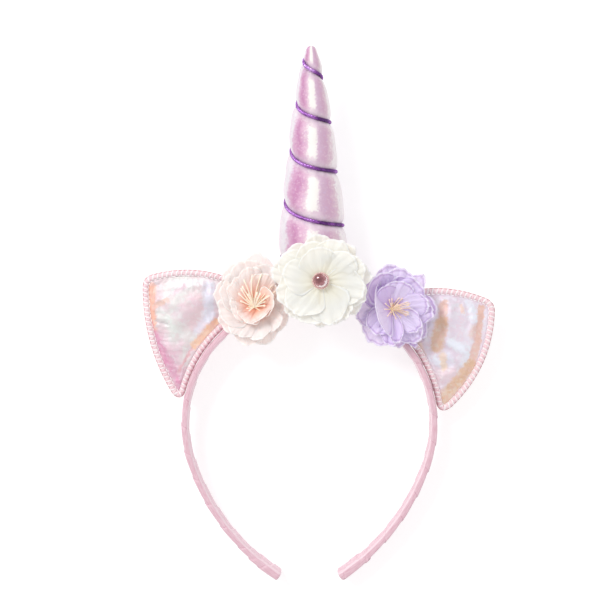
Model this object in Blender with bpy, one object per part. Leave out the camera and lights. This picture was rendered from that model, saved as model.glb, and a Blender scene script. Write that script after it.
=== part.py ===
"""A child's unicorn headband, lying on its back with its front face up.

Metres, +Z up. A ribbon-wrapped hoop carries two padded ears, a stuffed horn wound with a cord, and three
cloth flowers. Every piece is laid out in the plane of the hoop: X to the right, Y towards the horn's tip,
Z towards the flowers, from the centre of the hoop's upper arc. The empty "lying_pose" then tips the whole
headband back until it rests on the flattened underside of the horn and on the two ends of the hoop.
"""

import math
from collections import namedtuple

import bmesh
import bpy
from mathutils import Matrix, Vector

# Sizes that several pieces share
GAP = 0.0003
CLOTH = 0.0010
SMOOTH_BELOW = math.radians(40)

# The hoop: a flat spring wrapped in satin ribbon
HOOP_RADIUS = 0.0638
HOOP_BEND = math.radians(108)
ARM_RADIUS = 0.1120
ARM_BEND = math.radians(38)
BAND_WIDTH = 0.0100
BAND_THICKNESS = 0.0032
BAND_EDGE = 0.0010
WRAP_PITCH = 0.0140
WRAP_RISE = 0.00035
WRAP_LAP = 0.0004
TIP_ROUNDING = 0.0013

# The horn: a stuffed cone that sits astride the top of the hoop
HORN_HEIGHT = 0.1240
HORN_RADIUS = 0.0165
HORN_X = 0.0020
HORN_LEAN = math.radians(-0.6)
HORN_PUFF = 0.0006
HORN_FLAT = 0.0015
HORN_REST = 0.0090
HORN_COLUMNS = 20

# The cord wound down the horn: its first turn starts below the tip, its last ends above the hoop
CORD_DIAMETER = 0.0019
CORD_START = 0.0062
CORD_END = 0.0075
CORD_SPREAD = 0.252
CORD_DIP = 0.0013
CORD_DIP_TURN = 0.15
CORD_SAG = 0.0028
CORD_SAG_TURNS = 2.2
CORD_FIRST_TURN = -0.05
CORD_LAST_TURN = 4.45
CHANNEL_FLOOR = 0.0014
CHANNEL_MOUTH = 0.0046
CHANNEL_OVERRUN = 1.2

# The ears: padded three-sided cushions edged with a round braid
EAR_THICKNESS = 0.0052
EAR_CORNER = 0.0060
EAR_TIP_CORNER = 0.0032
EAR_SIDE_STEPS = 8
TRIM_DIAMETER = 0.0030

# The stone in the middle flower
GEM_RADIUS = 0.0041
GEM_HEIGHT = 0.0026
GEM_GIRDLE = 0.0007
GEM_SIDES = 12

# The horn's outer radius over the cord, as shares of its height from the tip and of HORN_RADIUS
Section = namedtuple("Section", "down radius")
HORN_SECTIONS = (
    Section(0.000, 0.000),
    Section(0.004, 0.090),
    Section(0.012, 0.145),
    Section(0.030, 0.185),
    Section(0.063, 0.262),
    Section(0.135, 0.350),
    Section(0.220, 0.460),
    Section(0.305, 0.575),
    Section(0.414, 0.667),
    Section(0.507, 0.757),
    Section(0.614, 0.855),
    Section(0.725, 0.945),
    Section(0.815, 0.980),
    Section(0.900, 0.990),
    Section(0.955, 0.940),
    Section(1.000, 0.760),
)
TIP_ROWS = (0.004, 0.012, 0.022)
GATHER_ROW = 0.955
PUFF_ROWS = (0.33, 0.67)
NEAREST_ROW = 0.0005
TIP, WOUND, BASE = range(3)

# How high the padding of an ear stands, as shares of the way out from its middle and of half its thickness
Padding = namedtuple("Padding", "out height")
EAR_PADDING = (Padding(0.42, 0.96), Padding(0.74, 0.78), Padding(0.93, 0.48), Padding(1.00, 0.20))

# Each ear: where its corners stand round the hoop, in degrees from the top, how far its tip is from the
# hoop, and how far its top and its outer side bulge, in metres
Ear = namedtuple("Ear", "name hand near tip far reach bulge_top bulge_side")
EARS = (
    Ear("left", -1, 21.0, 48.4, 79.5, 0.0452, 0.0080, 0.0050),
    Ear("right", 1, 28.5, 56.5, 85.0, 0.0452, 0.0075, 0.0072),
)

# Each flower: how far round the hoop it sits, in degrees to the right of the top, how far its middle is
# outside the hoop and its half sizes, in metres, how it leans, in degrees about X and about Y, and how
# firmly its back layer is pressed onto what carries it, in metres
Flower = namedtuple("Flower", "name around beyond radius_x radius_y lean_x lean_y press")
LEFT = Flower("left", -23.8, 0.0044, 0.0205, 0.0232, -6.0, -3.0, 0.0010)
MIDDLE = Flower("middle", 4.3, 0.0092, 0.0238, 0.0230, 4.0, 0.0, 0.0006)
RIGHT = Flower("right", 35.2, 0.0089, 0.0206, 0.0208, 0.0, 3.0, 0.0010)

# The petal layers from back to front: reach, rise and flute are shares of the flower's half size, notch is
# the share of the reach lost between two petals, turn is where the first petal points, in degrees
Petals = namedtuple("Petals", "layer count reach notch rise flute turn")
LAYERS = {
    LEFT: (
        Petals("back", 6, 1.00, 0.26, 0.10, 0.03, 20),
        Petals("inner", 6, 0.84, 0.32, 0.24, 0.03, 52),
        Petals("cup", 5, 0.52, 0.30, 0.36, 0.02, 10),
    ),
    MIDDLE: (
        Petals("back", 6, 1.00, 0.22, 0.04, 0.03, 8),
        Petals("inner", 6, 0.88, 0.26, 0.15, 0.03, 38),
        Petals("cup", 6, 0.56, 0.26, 0.18, 0.02, 8),
    ),
    RIGHT: (
        Petals("back", 5, 1.00, 0.30, 0.10, 0.04, 52),
        Petals("inner", 5, 0.94, 0.36, 0.24, 0.05, 16),
        Petals("cup", 5, 0.58, 0.34, 0.36, 0.03, 40),
    ),
}
STAMENS = Petals("stamens", 10, 0.36, 0.66, 0.30, 0.00, 0)
PETAL_RINGS = (0.30, 0.68, 1.00)
SPOKES_PER_PETAL = 6
STAMEN_SPOKES = 2
PETAL_ROUNDNESS = 3.5
FLUTES_PER_PETAL = 3

# Colours, as (red, green, blue), roughness and metallic
Finish = namedtuple("Finish", "colour roughness metallic")
RIBBON = Finish((0.93, 0.66, 0.74), 0.35, 0.0)
PEARL_LAME = Finish((0.86, 0.66, 0.82), 0.25, 0.6)
PURPLE_CORD = Finish((0.30, 0.12, 0.48), 0.25, 0.7)
EAR_LAME = Finish((0.90, 0.82, 0.87), 0.30, 0.5)
BRAID = Finish((0.95, 0.76, 0.80), 0.60, 0.0)
PEACH = Finish((0.96, 0.84, 0.79), 0.70, 0.0)
IVORY = Finish((0.95, 0.94, 0.88), 0.70, 0.0)
LILAC = Finish((0.74, 0.62, 0.90), 0.70, 0.0)
FILAMENT = Finish((0.96, 0.82, 0.58), 0.60, 0.0)
ROSE_STONE = Finish((0.80, 0.40, 0.45), 0.10, 0.3)


def clear_scene():
    for item in list(bpy.data.objects):
        bpy.data.objects.remove(item)


def material(name, finish):
    """One material for each finish, shared by the pieces that have it."""
    found = bpy.data.materials.get(name)
    if found:
        return found
    made = bpy.data.materials.new(name)
    made.use_nodes = True
    shader = made.node_tree.nodes["Principled BSDF"]
    shader.inputs["Base Color"].default_value = (*finish.colour, 1.0)
    shader.inputs["Roughness"].default_value = finish.roughness
    shader.inputs["Metallic"].default_value = finish.metallic
    made.diffuse_color = (*finish.colour, 1.0)
    return made


def add_piece(name, data, look, parent):
    piece = bpy.data.objects.new(name, data)
    piece.data.materials.append(look)
    piece.parent = parent
    bpy.context.scene.collection.objects.link(piece)
    return piece


def mesh_from(name, points, faces):
    """A smooth-shaded mesh whose faces all point outwards."""
    mesh = bpy.data.meshes.new(name)
    mesh.from_pydata([tuple(point) for point in points], [], faces)
    work = bmesh.new()
    work.from_mesh(mesh)
    bmesh.ops.recalc_face_normals(work, faces=work.faces)
    work.to_mesh(mesh)
    work.free()
    mesh.shade_smooth()
    mesh.set_sharp_from_angle(angle=SMOOTH_BELOW)
    return mesh


def interpolate(table, place):
    """The second column of a table at a place along its first, on straight lines between rows."""
    for low, high in zip(table, table[1:]):
        if place <= high[0]:
            share = (place - low[0]) / (high[0] - low[0])
            return low[1] + share * (high[1] - low[1])
    return table[-1][1]


def skin_of_rings(first_pole, rings, last_pole):
    """Points and faces of a shell from one pole, through closed rings of equal length, to another pole."""
    points = [first_pole]
    for ring in rings:
        points.extend(ring)
    count = len(rings[0])
    faces = []
    for i in range(count):
        j = (i + 1) % count
        faces.append((0, 1 + i, 1 + j))
        for row in range(len(rings) - 1):
            low = 1 + row * count
            high = low + count
            faces.append((low + i, high + i, high + j, low + j))
    if last_pole is not None:
        points.append(last_pole)
        low = 1 + (len(rings) - 1) * count
        faces.extend((low + i, len(points) - 1, low + (i + 1) % count) for i in range(count))
    return points, faces


def tube_along(name, route, diameter, cyclic):
    """A round cord of six sides along a list of points."""
    curve = bpy.data.curves.new(name, "CURVE")
    curve.dimensions = "3D"
    curve.bevel_depth = diameter / 2
    curve.bevel_resolution = 1
    curve.use_fill_caps = not cyclic
    spline = curve.splines.new("POLY")
    spline.points.add(len(route) - 1)
    for point, place in zip(spline.points, route):
        point.co = (*place, 1.0)
    spline.use_cyclic_u = cyclic
    spline.use_smooth = True
    return curve


# The hoop

def hoop_half_length():
    return HOOP_RADIUS * HOOP_BEND + ARM_RADIUS * ARM_BEND


def hoop_place(along):
    """Point on the hoop's outer face and the way outwards, at a length along it from the top, right positive."""
    upper = HOOP_RADIUS * HOOP_BEND
    run = abs(along)
    if run <= upper:
        angle = run / HOOP_RADIUS
        centre = Vector((0, 0, 0))
        radius = HOOP_RADIUS
    else:
        angle = HOOP_BEND + (run - upper) / ARM_RADIUS
        offset = HOOP_RADIUS - ARM_RADIUS
        centre = offset * Vector((math.sin(HOOP_BEND), math.cos(HOOP_BEND), 0))
        radius = ARM_RADIUS
    out = Vector((math.sin(angle), math.cos(angle), 0))
    point = centre + radius * out
    if along < 0:
        point.x, out.x = -point.x, -out.x
    return point, out


def band_section(along, rise, shrink=1.0):
    """The wrapped band's eight-sided section, thicker by the ribbon's rise on every face."""
    point, out = hoop_place(along)
    half = BAND_WIDTH / 2 + rise
    outer, inner = rise, -BAND_THICKNESS - rise
    edge = BAND_EDGE
    corners = (
        (half - edge, outer), (half, outer - edge), (half, inner + edge), (half - edge, inner),
        (edge - half, inner), (-half, inner + edge), (-half, outer - edge), (edge - half, outer),
    )
    middle = -BAND_THICKNESS / 2
    return [
        point + out * (middle + shrink * (height - middle)) + Vector((0, 0, shrink * depth))
        for depth, height in corners
    ]


def band_sections():
    """Sections from the left end to the right: the ribbon thickens over each turn and steps down at its lap."""
    half = hoop_half_length()
    # A rounded end, as shares of TIP_ROUNDING past the last full section and of that section's size
    rounding = ((1.0, 0.55), (0.6, 0.86))
    sections = [band_section(-half - out * TIP_ROUNDING, 0, size) for out, size in rounding]
    turns = round(2 * half / WRAP_PITCH)
    pitch = 2 * half / turns
    for turn in range(turns):
        start = -half + turn * pitch
        sections.append(band_section(start, 0))
        sections.append(band_section(start + pitch / 2, WRAP_RISE / 2))
        sections.append(band_section(start + pitch - WRAP_LAP, WRAP_RISE))
    sections.append(band_section(half, 0))
    sections.extend(
        band_section(half + out * TIP_ROUNDING, 0, size) for out, size in reversed(rounding)
    )
    return sections


def band_mesh(sections):
    first = sum(sections[0], Vector()) / len(sections[0])
    last = sum(sections[-1], Vector()) / len(sections[-1])
    return mesh_from("band", *skin_of_rings(first, sections, last))


# The horn

def horn_tip():
    base = Vector((HORN_X, HOOP_RADIUS, 0))
    return base + HORN_HEIGHT * horn_axis()


def horn_axis():
    return Vector((math.sin(HORN_LEAN), math.cos(HORN_LEAN), 0))


def horn_point(down, radius, turn):
    """A point at a length down the axis from the tip; whole turns lie on the left, quarters on the front."""
    axis = horn_axis()
    across = Vector((axis.y, -axis.x, 0))
    angle = 2 * math.pi * turn
    side = -math.cos(angle) * across + math.sin(angle) * Vector((0, 0, 1))
    return horn_tip() - down * axis + radius * side


def outer_radius(down):
    """Radius over the cord, which the padding between its turns just passes."""
    return HORN_RADIUS * interpolate(HORN_SECTIONS, down / HORN_HEIGHT)


def cord_down(turn):
    """How far down from the tip the cord is after so many turns: its pitch grows, and it sags at the front."""
    share = turn / CORD_LAST_TURN
    span = HORN_HEIGHT - CORD_START - CORD_END
    dip = CORD_DIP * math.cos(2 * math.pi * (turn - CORD_DIP_TURN))
    loose = min(max(turn / CORD_SAG_TURNS, 0), 1)
    sag = CORD_SAG * loose * loose * (3 - 2 * loose) * math.sin(2 * math.pi * turn)
    return CORD_START + span * share * (1 + CORD_SPREAD * share) / (1 + CORD_SPREAD) + dip + sag


def channel_stretch(turn):
    """How much wider the cord is along the horn than across itself, from its slope at a turn."""
    step = 1 / HORN_COLUMNS
    rise = (cord_down(turn + step) - cord_down(turn - step)) / (2 * step)
    return math.hypot(1, rise / (2 * math.pi * outer_radius(cord_down(turn))))


def seat_down(x):
    """How far down the horn's underside lies over the curved top of the hoop."""
    seat = HOOP_RADIUS + WRAP_RISE + GAP
    return (horn_tip().y - math.sqrt(seat * seat - x * x)) / math.cos(HORN_LEAN)


def horn_column(index):
    """One line down the horn as (order, point): rows of the tip, rows that follow the cord, rows of the base.

    An order is (zone, place in the zone); in the wound zone the place is the number of whole turns wound.
    """
    share = index / HORN_COLUMNS
    overrun = CHANNEL_OVERRUN / HORN_COLUMNS
    first, last = TIP_ROWS[-1] * HORN_HEIGHT, GATHER_ROW * HORN_HEIGHT
    rows = [((TIP, row), row * HORN_HEIGHT, HORN_PUFF * row / TIP_ROWS[-1]) for row in TIP_ROWS]
    for whole in range(-1, math.ceil(CORD_LAST_TURN) + 2):
        turn = whole + share
        wound = CORD_FIRST_TURN - overrun <= turn <= CORD_LAST_TURN + overrun
        sink = -CORD_DIAMETER - GAP if wound else HORN_PUFF
        lip = HORN_PUFF / 2 if wound else HORN_PUFF
        mouth, floor = (width / 2 * channel_stretch(turn) for width in (CHANNEL_MOUTH, CHANNEL_FLOOR))
        profile = ((-mouth, lip), (-floor, sink), (floor, sink), (mouth, lip))
        winding = [(place, cord_down(turn) + offset, change) for place, (offset, change) in enumerate(profile)]
        winding.extend((len(profile) + part, cord_down(turn + part), HORN_PUFF) for part in PUFF_ROWS)
        for place, down, change in winding:
            if first + NEAREST_ROW < down < last - NEAREST_ROW:
                rows.append(((WOUND, whole + place / 10), down, change))
    rows.append(((BASE, 0), last, HORN_PUFF))
    line = [(order, horn_point(down, outer_radius(down) + change, share)) for order, down, change in rows]
    seat_radius = outer_radius(HORN_HEIGHT)
    for place, radius in ((1, seat_radius), (2, seat_radius / 2)):
        edge = horn_point(HORN_HEIGHT, radius, share)
        line.append(((BASE, place), horn_point(seat_down(edge.x), radius, share)))
    return line


def zip_columns(left, right):
    """Triangles between two neighbouring lines of (order, vertex number), whichever comes first going on."""
    faces = []
    i = j = 0
    while i < len(left) - 1 or j < len(right) - 1:
        go_left = j == len(right) - 1 or (i < len(left) - 1 and left[i + 1][0] <= right[j + 1][0])
        if go_left:
            faces.append((left[i][1], left[i + 1][1], right[j][1]))
            i += 1
        else:
            faces.append((left[i][1], right[j + 1][1], right[j][1]))
            j += 1
    return [face for face in faces if len(set(face)) == 3]


def horn_mesh(rest):
    """The stuffed horn, with a channel pressed into it by the cord and a flat where it lies."""
    points = [horn_tip(), horn_point(seat_down(HORN_X), 0, 0)]
    columns = []
    for index in range(HORN_COLUMNS):
        column = [((TIP, 0), 0)]
        for order, point in horn_column(index):
            point.z = max(point.z, rest.height(point.y))
            column.append((order, len(points)))
            points.append(point)
        column.append(((BASE, 3), 1))
        columns.append(column)
    # Going once round, the helix has gained a whole turn
    columns.append([((zone, place - (zone == WOUND)), number) for (zone, place), number in columns[0]])
    faces = []
    for left, right in zip(columns, columns[1:]):
        faces.extend(zip_columns(left, right))
    return mesh_from("horn", points, faces)


def cord_route():
    count = round((CORD_LAST_TURN - CORD_FIRST_TURN) * HORN_COLUMNS)
    turns = [CORD_FIRST_TURN + index / HORN_COLUMNS for index in range(count + 1)]
    return [
        horn_point(cord_down(turn), outer_radius(cord_down(turn)) - CORD_DIAMETER / 2, turn)
        for turn in turns
    ]


# How it lies

class Rest:
    """The surface it lies on, in the hoop's frame: it passes under the horn and touches the hoop's ends."""

    def __init__(self, sections):
        down = HORN_HEIGHT - HORN_REST
        self.y = horn_tip().y - down
        self.z = HORN_FLAT - outer_radius(down) - HORN_PUFF
        below = [point for section in sections for point in section if point.y < 0]
        self.tilt = min(math.atan2(point.z - self.z, self.y - point.y) for point in below)

    def height(self, y):
        return self.z + (self.y - y) * math.tan(self.tilt)


# The ears

def on_hoop(radius, degrees, hand):
    angle = math.radians(degrees)
    return Vector((hand * radius * math.sin(angle), radius * math.cos(angle), 0))


def bulged(start, end, bulge, away, share):
    """A point on a shallow curve from start to end that bulges away from a given point."""
    chord = end - start
    out = Vector((-chord.y, chord.x, 0)).normalized()
    if (start - away).dot(out) < 0:
        out = -out
    return start + share * chord + out * (4 * bulge * share * (1 - share))


def ear_outline(ear):
    """The braid's line round one ear: two bulged sides, and a base that follows the hoop."""
    base_radius = HOOP_RADIUS + WRAP_RISE + GAP + TRIM_DIAMETER / 2
    near = on_hoop(base_radius, ear.near, ear.hand)
    far = on_hoop(base_radius, ear.far, ear.hand)
    tip = on_hoop(HOOP_RADIUS + ear.reach, ear.tip, ear.hand)
    middle = (near + far + tip) / 3

    def top(share):
        return bulged(near, tip, ear.bulge_top, middle, share)

    def outside(share):
        return bulged(tip, far, ear.bulge_side, middle, share)

    def base(share):
        return on_hoop(base_radius, ear.far + share * (ear.near - ear.far), ear.hand)

    line = []
    for side, length, start_cut, end_cut, corner in (
        (top, (tip - near).length, EAR_CORNER, EAR_TIP_CORNER, tip),
        (outside, (far - tip).length, EAR_TIP_CORNER, EAR_CORNER, far),
        (base, (near - far).length, EAR_CORNER, EAR_CORNER, near),
    ):
        first, last = start_cut / length, 1 - end_cut / length
        steps = [step / EAR_SIDE_STEPS for step in range(EAR_SIDE_STEPS + 1)]
        line.extend(side(first + step * (last - first)) for step in steps)
        line.append(corner)
    return round_corners(line, EAR_SIDE_STEPS + 2)


def round_corners(line, every):
    """Swaps each corner, the last point of every side, for three points on a curve between its neighbours."""
    smooth = []
    for index, point in enumerate(line):
        if index % every != every - 1:
            smooth.append(point)
            continue
        before, after = line[index - 1], line[(index + 1) % len(line)]
        for share in (0.25, 0.5, 0.75):
            one, two = before.lerp(point, share), point.lerp(after, share)
            smooth.append(one.lerp(two, share))
    return smooth


def inset(line, distance):
    """A closed flat line moved inwards by a distance."""
    middle = sum(line, Vector()) / len(line)
    moved = []
    for index, point in enumerate(line):
        along = line[(index + 1) % len(line)] - line[index - 1]
        inward = Vector((-along.y, along.x, 0)).normalized()
        if inward.dot(middle - point) < 0:
            inward = -inward
        moved.append(point + distance * inward)
    return moved


def ear_mesh(name, outline):
    edge = inset(outline, TRIM_DIAMETER / 2 + GAP)
    middle = sum(edge, Vector()) / len(edge)
    half = Vector((0, 0, EAR_THICKNESS / 2))
    front = [
        [middle.lerp(point, row.out) + row.height * half for point in edge] for row in EAR_PADDING
    ]
    back = [[point - 2 * Vector((0, 0, point.z)) for point in ring] for ring in reversed(front)]
    return mesh_from(name, *skin_of_rings(middle + half, front + back, middle - half))


# The flowers

def front_of_frame(place):
    """Height of the front of the band, or of the horn where it stands higher, at a place in the hoop's plane."""
    reach = place - horn_tip()
    down = -reach.dot(horn_axis())
    beside = (reach + down * horn_axis()).length
    front = BAND_WIDTH / 2 + WRAP_RISE
    radius = outer_radius(min(down, HORN_HEIGHT)) + HORN_PUFF
    if beside < radius:
        front = max(front, math.sqrt(radius * radius - beside * beside))
    return front


def flower_matrix(flower):
    """The flower's frame: its hub stands on the front of the band or of the horn behind it."""
    seat = on_hoop(HOOP_RADIUS + flower.beyond, abs(flower.around), math.copysign(1, flower.around))
    seat.z = front_of_frame(seat) + GAP + CLOTH
    place = Matrix.Translation(seat)
    lean = Matrix.Rotation(math.radians(flower.lean_y), 4, "Y") @ Matrix.Rotation(
        math.radians(flower.lean_x), 4, "X"
    )
    return place @ lean


def clear_of_frame(point, margin):
    """Moves a petal's point out of the horn and above the band's front edge, by at least a margin."""
    axis = horn_axis()
    lifted = point.copy()
    lifted.z = max(point.z, BAND_WIDTH / 2 + WRAP_RISE + margin)
    reach = lifted - horn_tip()
    down = -reach.dot(axis)
    if 0 < down < HORN_HEIGHT + margin:
        radial = reach + down * axis
        least = outer_radius(min(down, HORN_HEIGHT)) + HORN_PUFF + margin
        if radial.length < least:
            lifted += radial.normalized() * (least - radial.length)
    return lifted


def petal_ring(flower, petals, spokes, ring):
    """One ring of a layer, in the flower's own frame, notched between petals and fluted towards the rim."""
    points = []
    for index in range(petals.count * spokes):
        across = 2 * (index % spokes) / spokes - 1
        angle = 2 * math.pi * (index - spokes / 2) / (petals.count * spokes) + math.radians(petals.turn)
        reach = petals.reach * ring * (1 - petals.notch * abs(across) ** PETAL_ROUNDNESS)
        ripple = petals.flute * math.cos(FLUTES_PER_PETAL * petals.count * angle) * ring ** 3
        height = petals.rise * (reach / petals.reach) ** 2 + ripple
        points.append(Vector((
            flower.radius_x * reach * math.cos(angle),
            flower.radius_y * reach * math.sin(angle),
            (flower.radius_x + flower.radius_y) / 2 * height,
        )))
    return points


def layer_lift(flower, order):
    """Height of a layer over the flower's seat; the back one is pressed down onto what carries it."""
    return order * (CLOTH + 2 * GAP) if order else -flower.press


def petal_layer(flower, petals, order, spokes, parent, look):
    """One die-cut layer of cloth petals, given its thickness downwards."""
    matrix = flower_matrix(flower) @ Matrix.Translation((0, 0, layer_lift(flower, order)))
    margin = (order + 1) * (CLOTH + GAP)

    def placed(point):
        return clear_of_frame(matrix @ point, margin)

    rings = [
        [placed(point) for point in petal_ring(flower, petals, spokes, ring)] for ring in PETAL_RINGS
    ]
    name = f"flower_{flower.name}_{petals.layer}"
    points, faces = skin_of_rings(placed(Vector()), rings, None)
    layer = add_piece(name, mesh_from(name, points, faces), look, parent)
    thicken = layer.modifiers.new("cloth", "SOLIDIFY")
    thicken.thickness = CLOTH
    thicken.offset = -1
    thicken.use_even_offset = False
    return layer


def gem(flower, order, parent, look):
    """A flat-backed cut stone: girdle, a ring of kite and triangle facets, and a table."""
    matrix = flower_matrix(flower) @ Matrix.Translation((0, 0, layer_lift(flower, order) + GAP))
    # Rows of corners: share of the radius, share of the height above the girdle, share of a side turned
    rows = ((1.00, 0.0, 0.0), (0.78, 0.62, 0.5), (0.50, 1.0, 0.0))
    points = []
    for share, climb, turn in rows:
        height = GEM_GIRDLE + climb * (GEM_HEIGHT - GEM_GIRDLE)
        for side in range(GEM_SIDES):
            angle = 2 * math.pi * (side + turn) / GEM_SIDES
            points.append(Vector((share * GEM_RADIUS * math.cos(angle),
                                  share * GEM_RADIUS * math.sin(angle), height)))
    points.extend(Vector((point.x, point.y, 0)) for point in points[:GEM_SIDES])
    work = bmesh.new()
    for point in points:
        work.verts.new(matrix @ point)
    bmesh.ops.convex_hull(work, input=work.verts)
    mesh = bpy.data.meshes.new("gem")
    work.to_mesh(mesh)
    work.free()
    return add_piece("gem", mesh, look, parent)


def main():
    clear_scene()
    sections = band_sections()
    rest = Rest(sections)
    lying = bpy.data.objects.new("lying_pose", None)
    bpy.context.scene.collection.objects.link(lying)

    add_piece("band", band_mesh(sections), material("ribbon", RIBBON), lying)
    add_piece("horn", horn_mesh(rest), material("pearl_lame", PEARL_LAME), lying)
    cord = tube_along("horn_cord", cord_route(), CORD_DIAMETER, cyclic=False)
    add_piece("horn_cord", cord, material("purple_cord", PURPLE_CORD), lying)

    for ear in EARS:
        outline = ear_outline(ear)
        name = f"ear_{ear.name}"
        add_piece(name, ear_mesh(name, outline), material("ear_lame", EAR_LAME), lying)
        trim = tube_along(f"{name}_trim", outline, TRIM_DIAMETER, cyclic=True)
        add_piece(f"{name}_trim", trim, material("braid", BRAID), lying)

    cloths = {LEFT: ("peach_cloth", PEACH), MIDDLE: ("ivory_cloth", IVORY), RIGHT: ("lilac_cloth", LILAC)}
    for flower, layers in LAYERS.items():
        cloth = material(*cloths[flower])
        for order, petals in enumerate(layers):
            petal_layer(flower, petals, order, SPOKES_PER_PETAL, lying, cloth)
        if flower is MIDDLE:
            gem(flower, len(layers), lying, material("rose_stone", ROSE_STONE))
        else:
            petal_layer(flower, STAMENS, len(layers), STAMEN_SPOKES, lying, material("filament", FILAMENT))

    lay_down(lying, rest)


def lay_down(lying, rest):
    """Tips the headband back onto the surface and puts the origin under the middle of its bounding box."""
    lying.rotation_euler = (rest.tilt, 0, 0)
    bpy.context.view_layer.update()
    graph = bpy.context.evaluated_depsgraph_get()
    corners = []
    for piece in lying.children:
        shape = piece.evaluated_get(graph).to_mesh()
        corners.extend(piece.matrix_world @ vertex.co for vertex in shape.vertices)
    low = Vector([min(corner[axis] for corner in corners) for axis in range(3)])
    high = Vector([max(corner[axis] for corner in corners) for axis in range(3)])
    lying.location = (-(low.x + high.x) / 2, -(low.y + high.y) / 2, -low.z)
    bpy.context.view_layer.update()


main()
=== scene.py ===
# %% [markdown]
# # A unicorn headband, laid on its back
#
# A child's costume headband lies on a white table and is seen from straight above. Its pieces are a hoop
# wrapped in satin ribbon, a stuffed horn wound with a cord, two padded ears with a corded edge, and three
# cloth flowers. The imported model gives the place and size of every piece. This lesson makes each one again
# with its cloth, folds and thread, and hides the plain solid that stood for it.

import math

import bpy
import numpy as np
from mathutils import Matrix, Vector, noise
from mathutils.kdtree import KDTree


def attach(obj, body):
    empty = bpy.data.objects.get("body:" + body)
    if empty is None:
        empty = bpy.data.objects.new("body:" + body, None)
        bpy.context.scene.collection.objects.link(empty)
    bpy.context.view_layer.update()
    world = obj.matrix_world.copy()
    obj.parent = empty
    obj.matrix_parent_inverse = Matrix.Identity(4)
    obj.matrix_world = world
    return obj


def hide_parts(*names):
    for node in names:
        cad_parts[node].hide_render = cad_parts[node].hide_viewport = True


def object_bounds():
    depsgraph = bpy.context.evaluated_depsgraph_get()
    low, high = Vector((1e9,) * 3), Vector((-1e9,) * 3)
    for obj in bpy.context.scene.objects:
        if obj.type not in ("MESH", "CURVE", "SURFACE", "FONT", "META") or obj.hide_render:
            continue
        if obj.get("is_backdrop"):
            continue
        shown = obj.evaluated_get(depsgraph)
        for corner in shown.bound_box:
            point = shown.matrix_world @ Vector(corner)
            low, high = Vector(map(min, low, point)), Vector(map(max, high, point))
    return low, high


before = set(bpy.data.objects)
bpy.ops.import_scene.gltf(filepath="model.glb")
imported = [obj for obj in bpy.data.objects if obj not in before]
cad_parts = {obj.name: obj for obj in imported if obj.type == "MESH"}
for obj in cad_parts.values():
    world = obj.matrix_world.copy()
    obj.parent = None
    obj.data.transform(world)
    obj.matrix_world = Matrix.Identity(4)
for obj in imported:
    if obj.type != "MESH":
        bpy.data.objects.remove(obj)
cad_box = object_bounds()
print("nodes in the frame:", len(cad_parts))

# %% [markdown]
# ## One flat drawing for everything
#
# The headband could be modelled as it lies, with every piece a little tipped. It is easier to draw all of
# it in the plane of the hoop, with X to the right, Y towards the horn's tip and Z towards the flowers, and
# to tip each finished piece back by the same small angle. `lay_down` does that and bakes the turn into the
# mesh, because a finished piece keeps its object at the origin.

# %% The pose
HOOP_CENTRE = Vector((-0.00457, -0.05457, 0.01031))
LEAN_BACK = math.radians(3.69)
LYING = Matrix.Translation(HOOP_CENTRE) @ Matrix.Rotation(LEAN_BACK, 4, "X")
MM = 0.001
print("leans back by", round(math.degrees(LEAN_BACK), 2), "degrees")

# %% [markdown]
# ## Small tools
#
# An operator acts on everything that is selected, so each step starts by choosing one object. `reshape` is
# the sculpting tool of this lesson: it hands all points of a mesh to a rule and puts back what the rule
# returns. The same rule can be used on a coarse or on a fine mesh.

# %% Choosing, shaping and finishing a piece
def choose(*pieces):
    bpy.ops.object.select_all(action="DESELECT")
    for piece in pieces:
        piece.select_set(True)
    bpy.context.view_layer.objects.active = pieces[0]


def points_of(piece):
    flat = np.empty(len(piece.data.vertices) * 3, dtype=np.float32)
    piece.data.vertices.foreach_get("co", flat)
    return flat.reshape(-1, 3).astype(float)


def reshape(piece, places):
    piece.data.vertices.foreach_set("co", np.asarray(places, dtype=np.float32).ravel())
    piece.data.update()


def mark(piece, name, values):
    """Keeps one number a point on the mesh, for the material to read."""
    layer = piece.data.attributes.new(name, "FLOAT", "POINT")
    layer.data.foreach_set("value", np.asarray(values, dtype=np.float32).ravel())


def use_modifier(piece, kind, **settings):
    choose(piece)
    modifier = piece.modifiers.new(kind.title(), kind)
    for name, value in settings.items():
        setattr(modifier, name, value)
    bpy.ops.object.modifier_apply(modifier=modifier.name)


def grid(name, across, along):
    """A flat grid one unit wide and long, and the (u, v) of each of its points, from 0 to 1."""
    bpy.ops.mesh.primitive_grid_add(x_subdivisions=across, y_subdivisions=along, size=1, location=(0, 0, 0))
    piece = bpy.context.object
    piece.name = piece.data.name = name
    flat = points_of(piece)
    return piece, flat[:, 0] + 0.5, flat[:, 1] + 0.5


def close_up(piece, gap=1e-6):
    """Joins the points that lie on each other, fills what is still open and turns all faces outwards."""
    choose(piece)
    bpy.ops.object.mode_set(mode="EDIT")
    bpy.ops.mesh.select_all(action="SELECT")
    bpy.ops.mesh.remove_doubles(threshold=gap)
    bpy.ops.mesh.select_all(action="DESELECT")
    bpy.ops.mesh.select_non_manifold()
    bpy.ops.mesh.fill_holes(sides=0)
    bpy.ops.mesh.select_all(action="SELECT")
    bpy.ops.mesh.normals_make_consistent(inside=False)
    bpy.ops.object.mode_set(mode="OBJECT")


def join(name, pieces):
    choose(*pieces)
    if len(pieces) > 1:
        bpy.ops.object.join()
    pieces[0].name = pieces[0].data.name = name
    return pieces[0]


def lay_down(piece):
    """Tips a piece from the plane of the hoop back onto the table, with its place in its mesh."""
    choose(piece)
    piece.matrix_world = LYING @ piece.matrix_world
    bpy.ops.object.transform_apply(location=True, rotation=True, scale=True)


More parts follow.
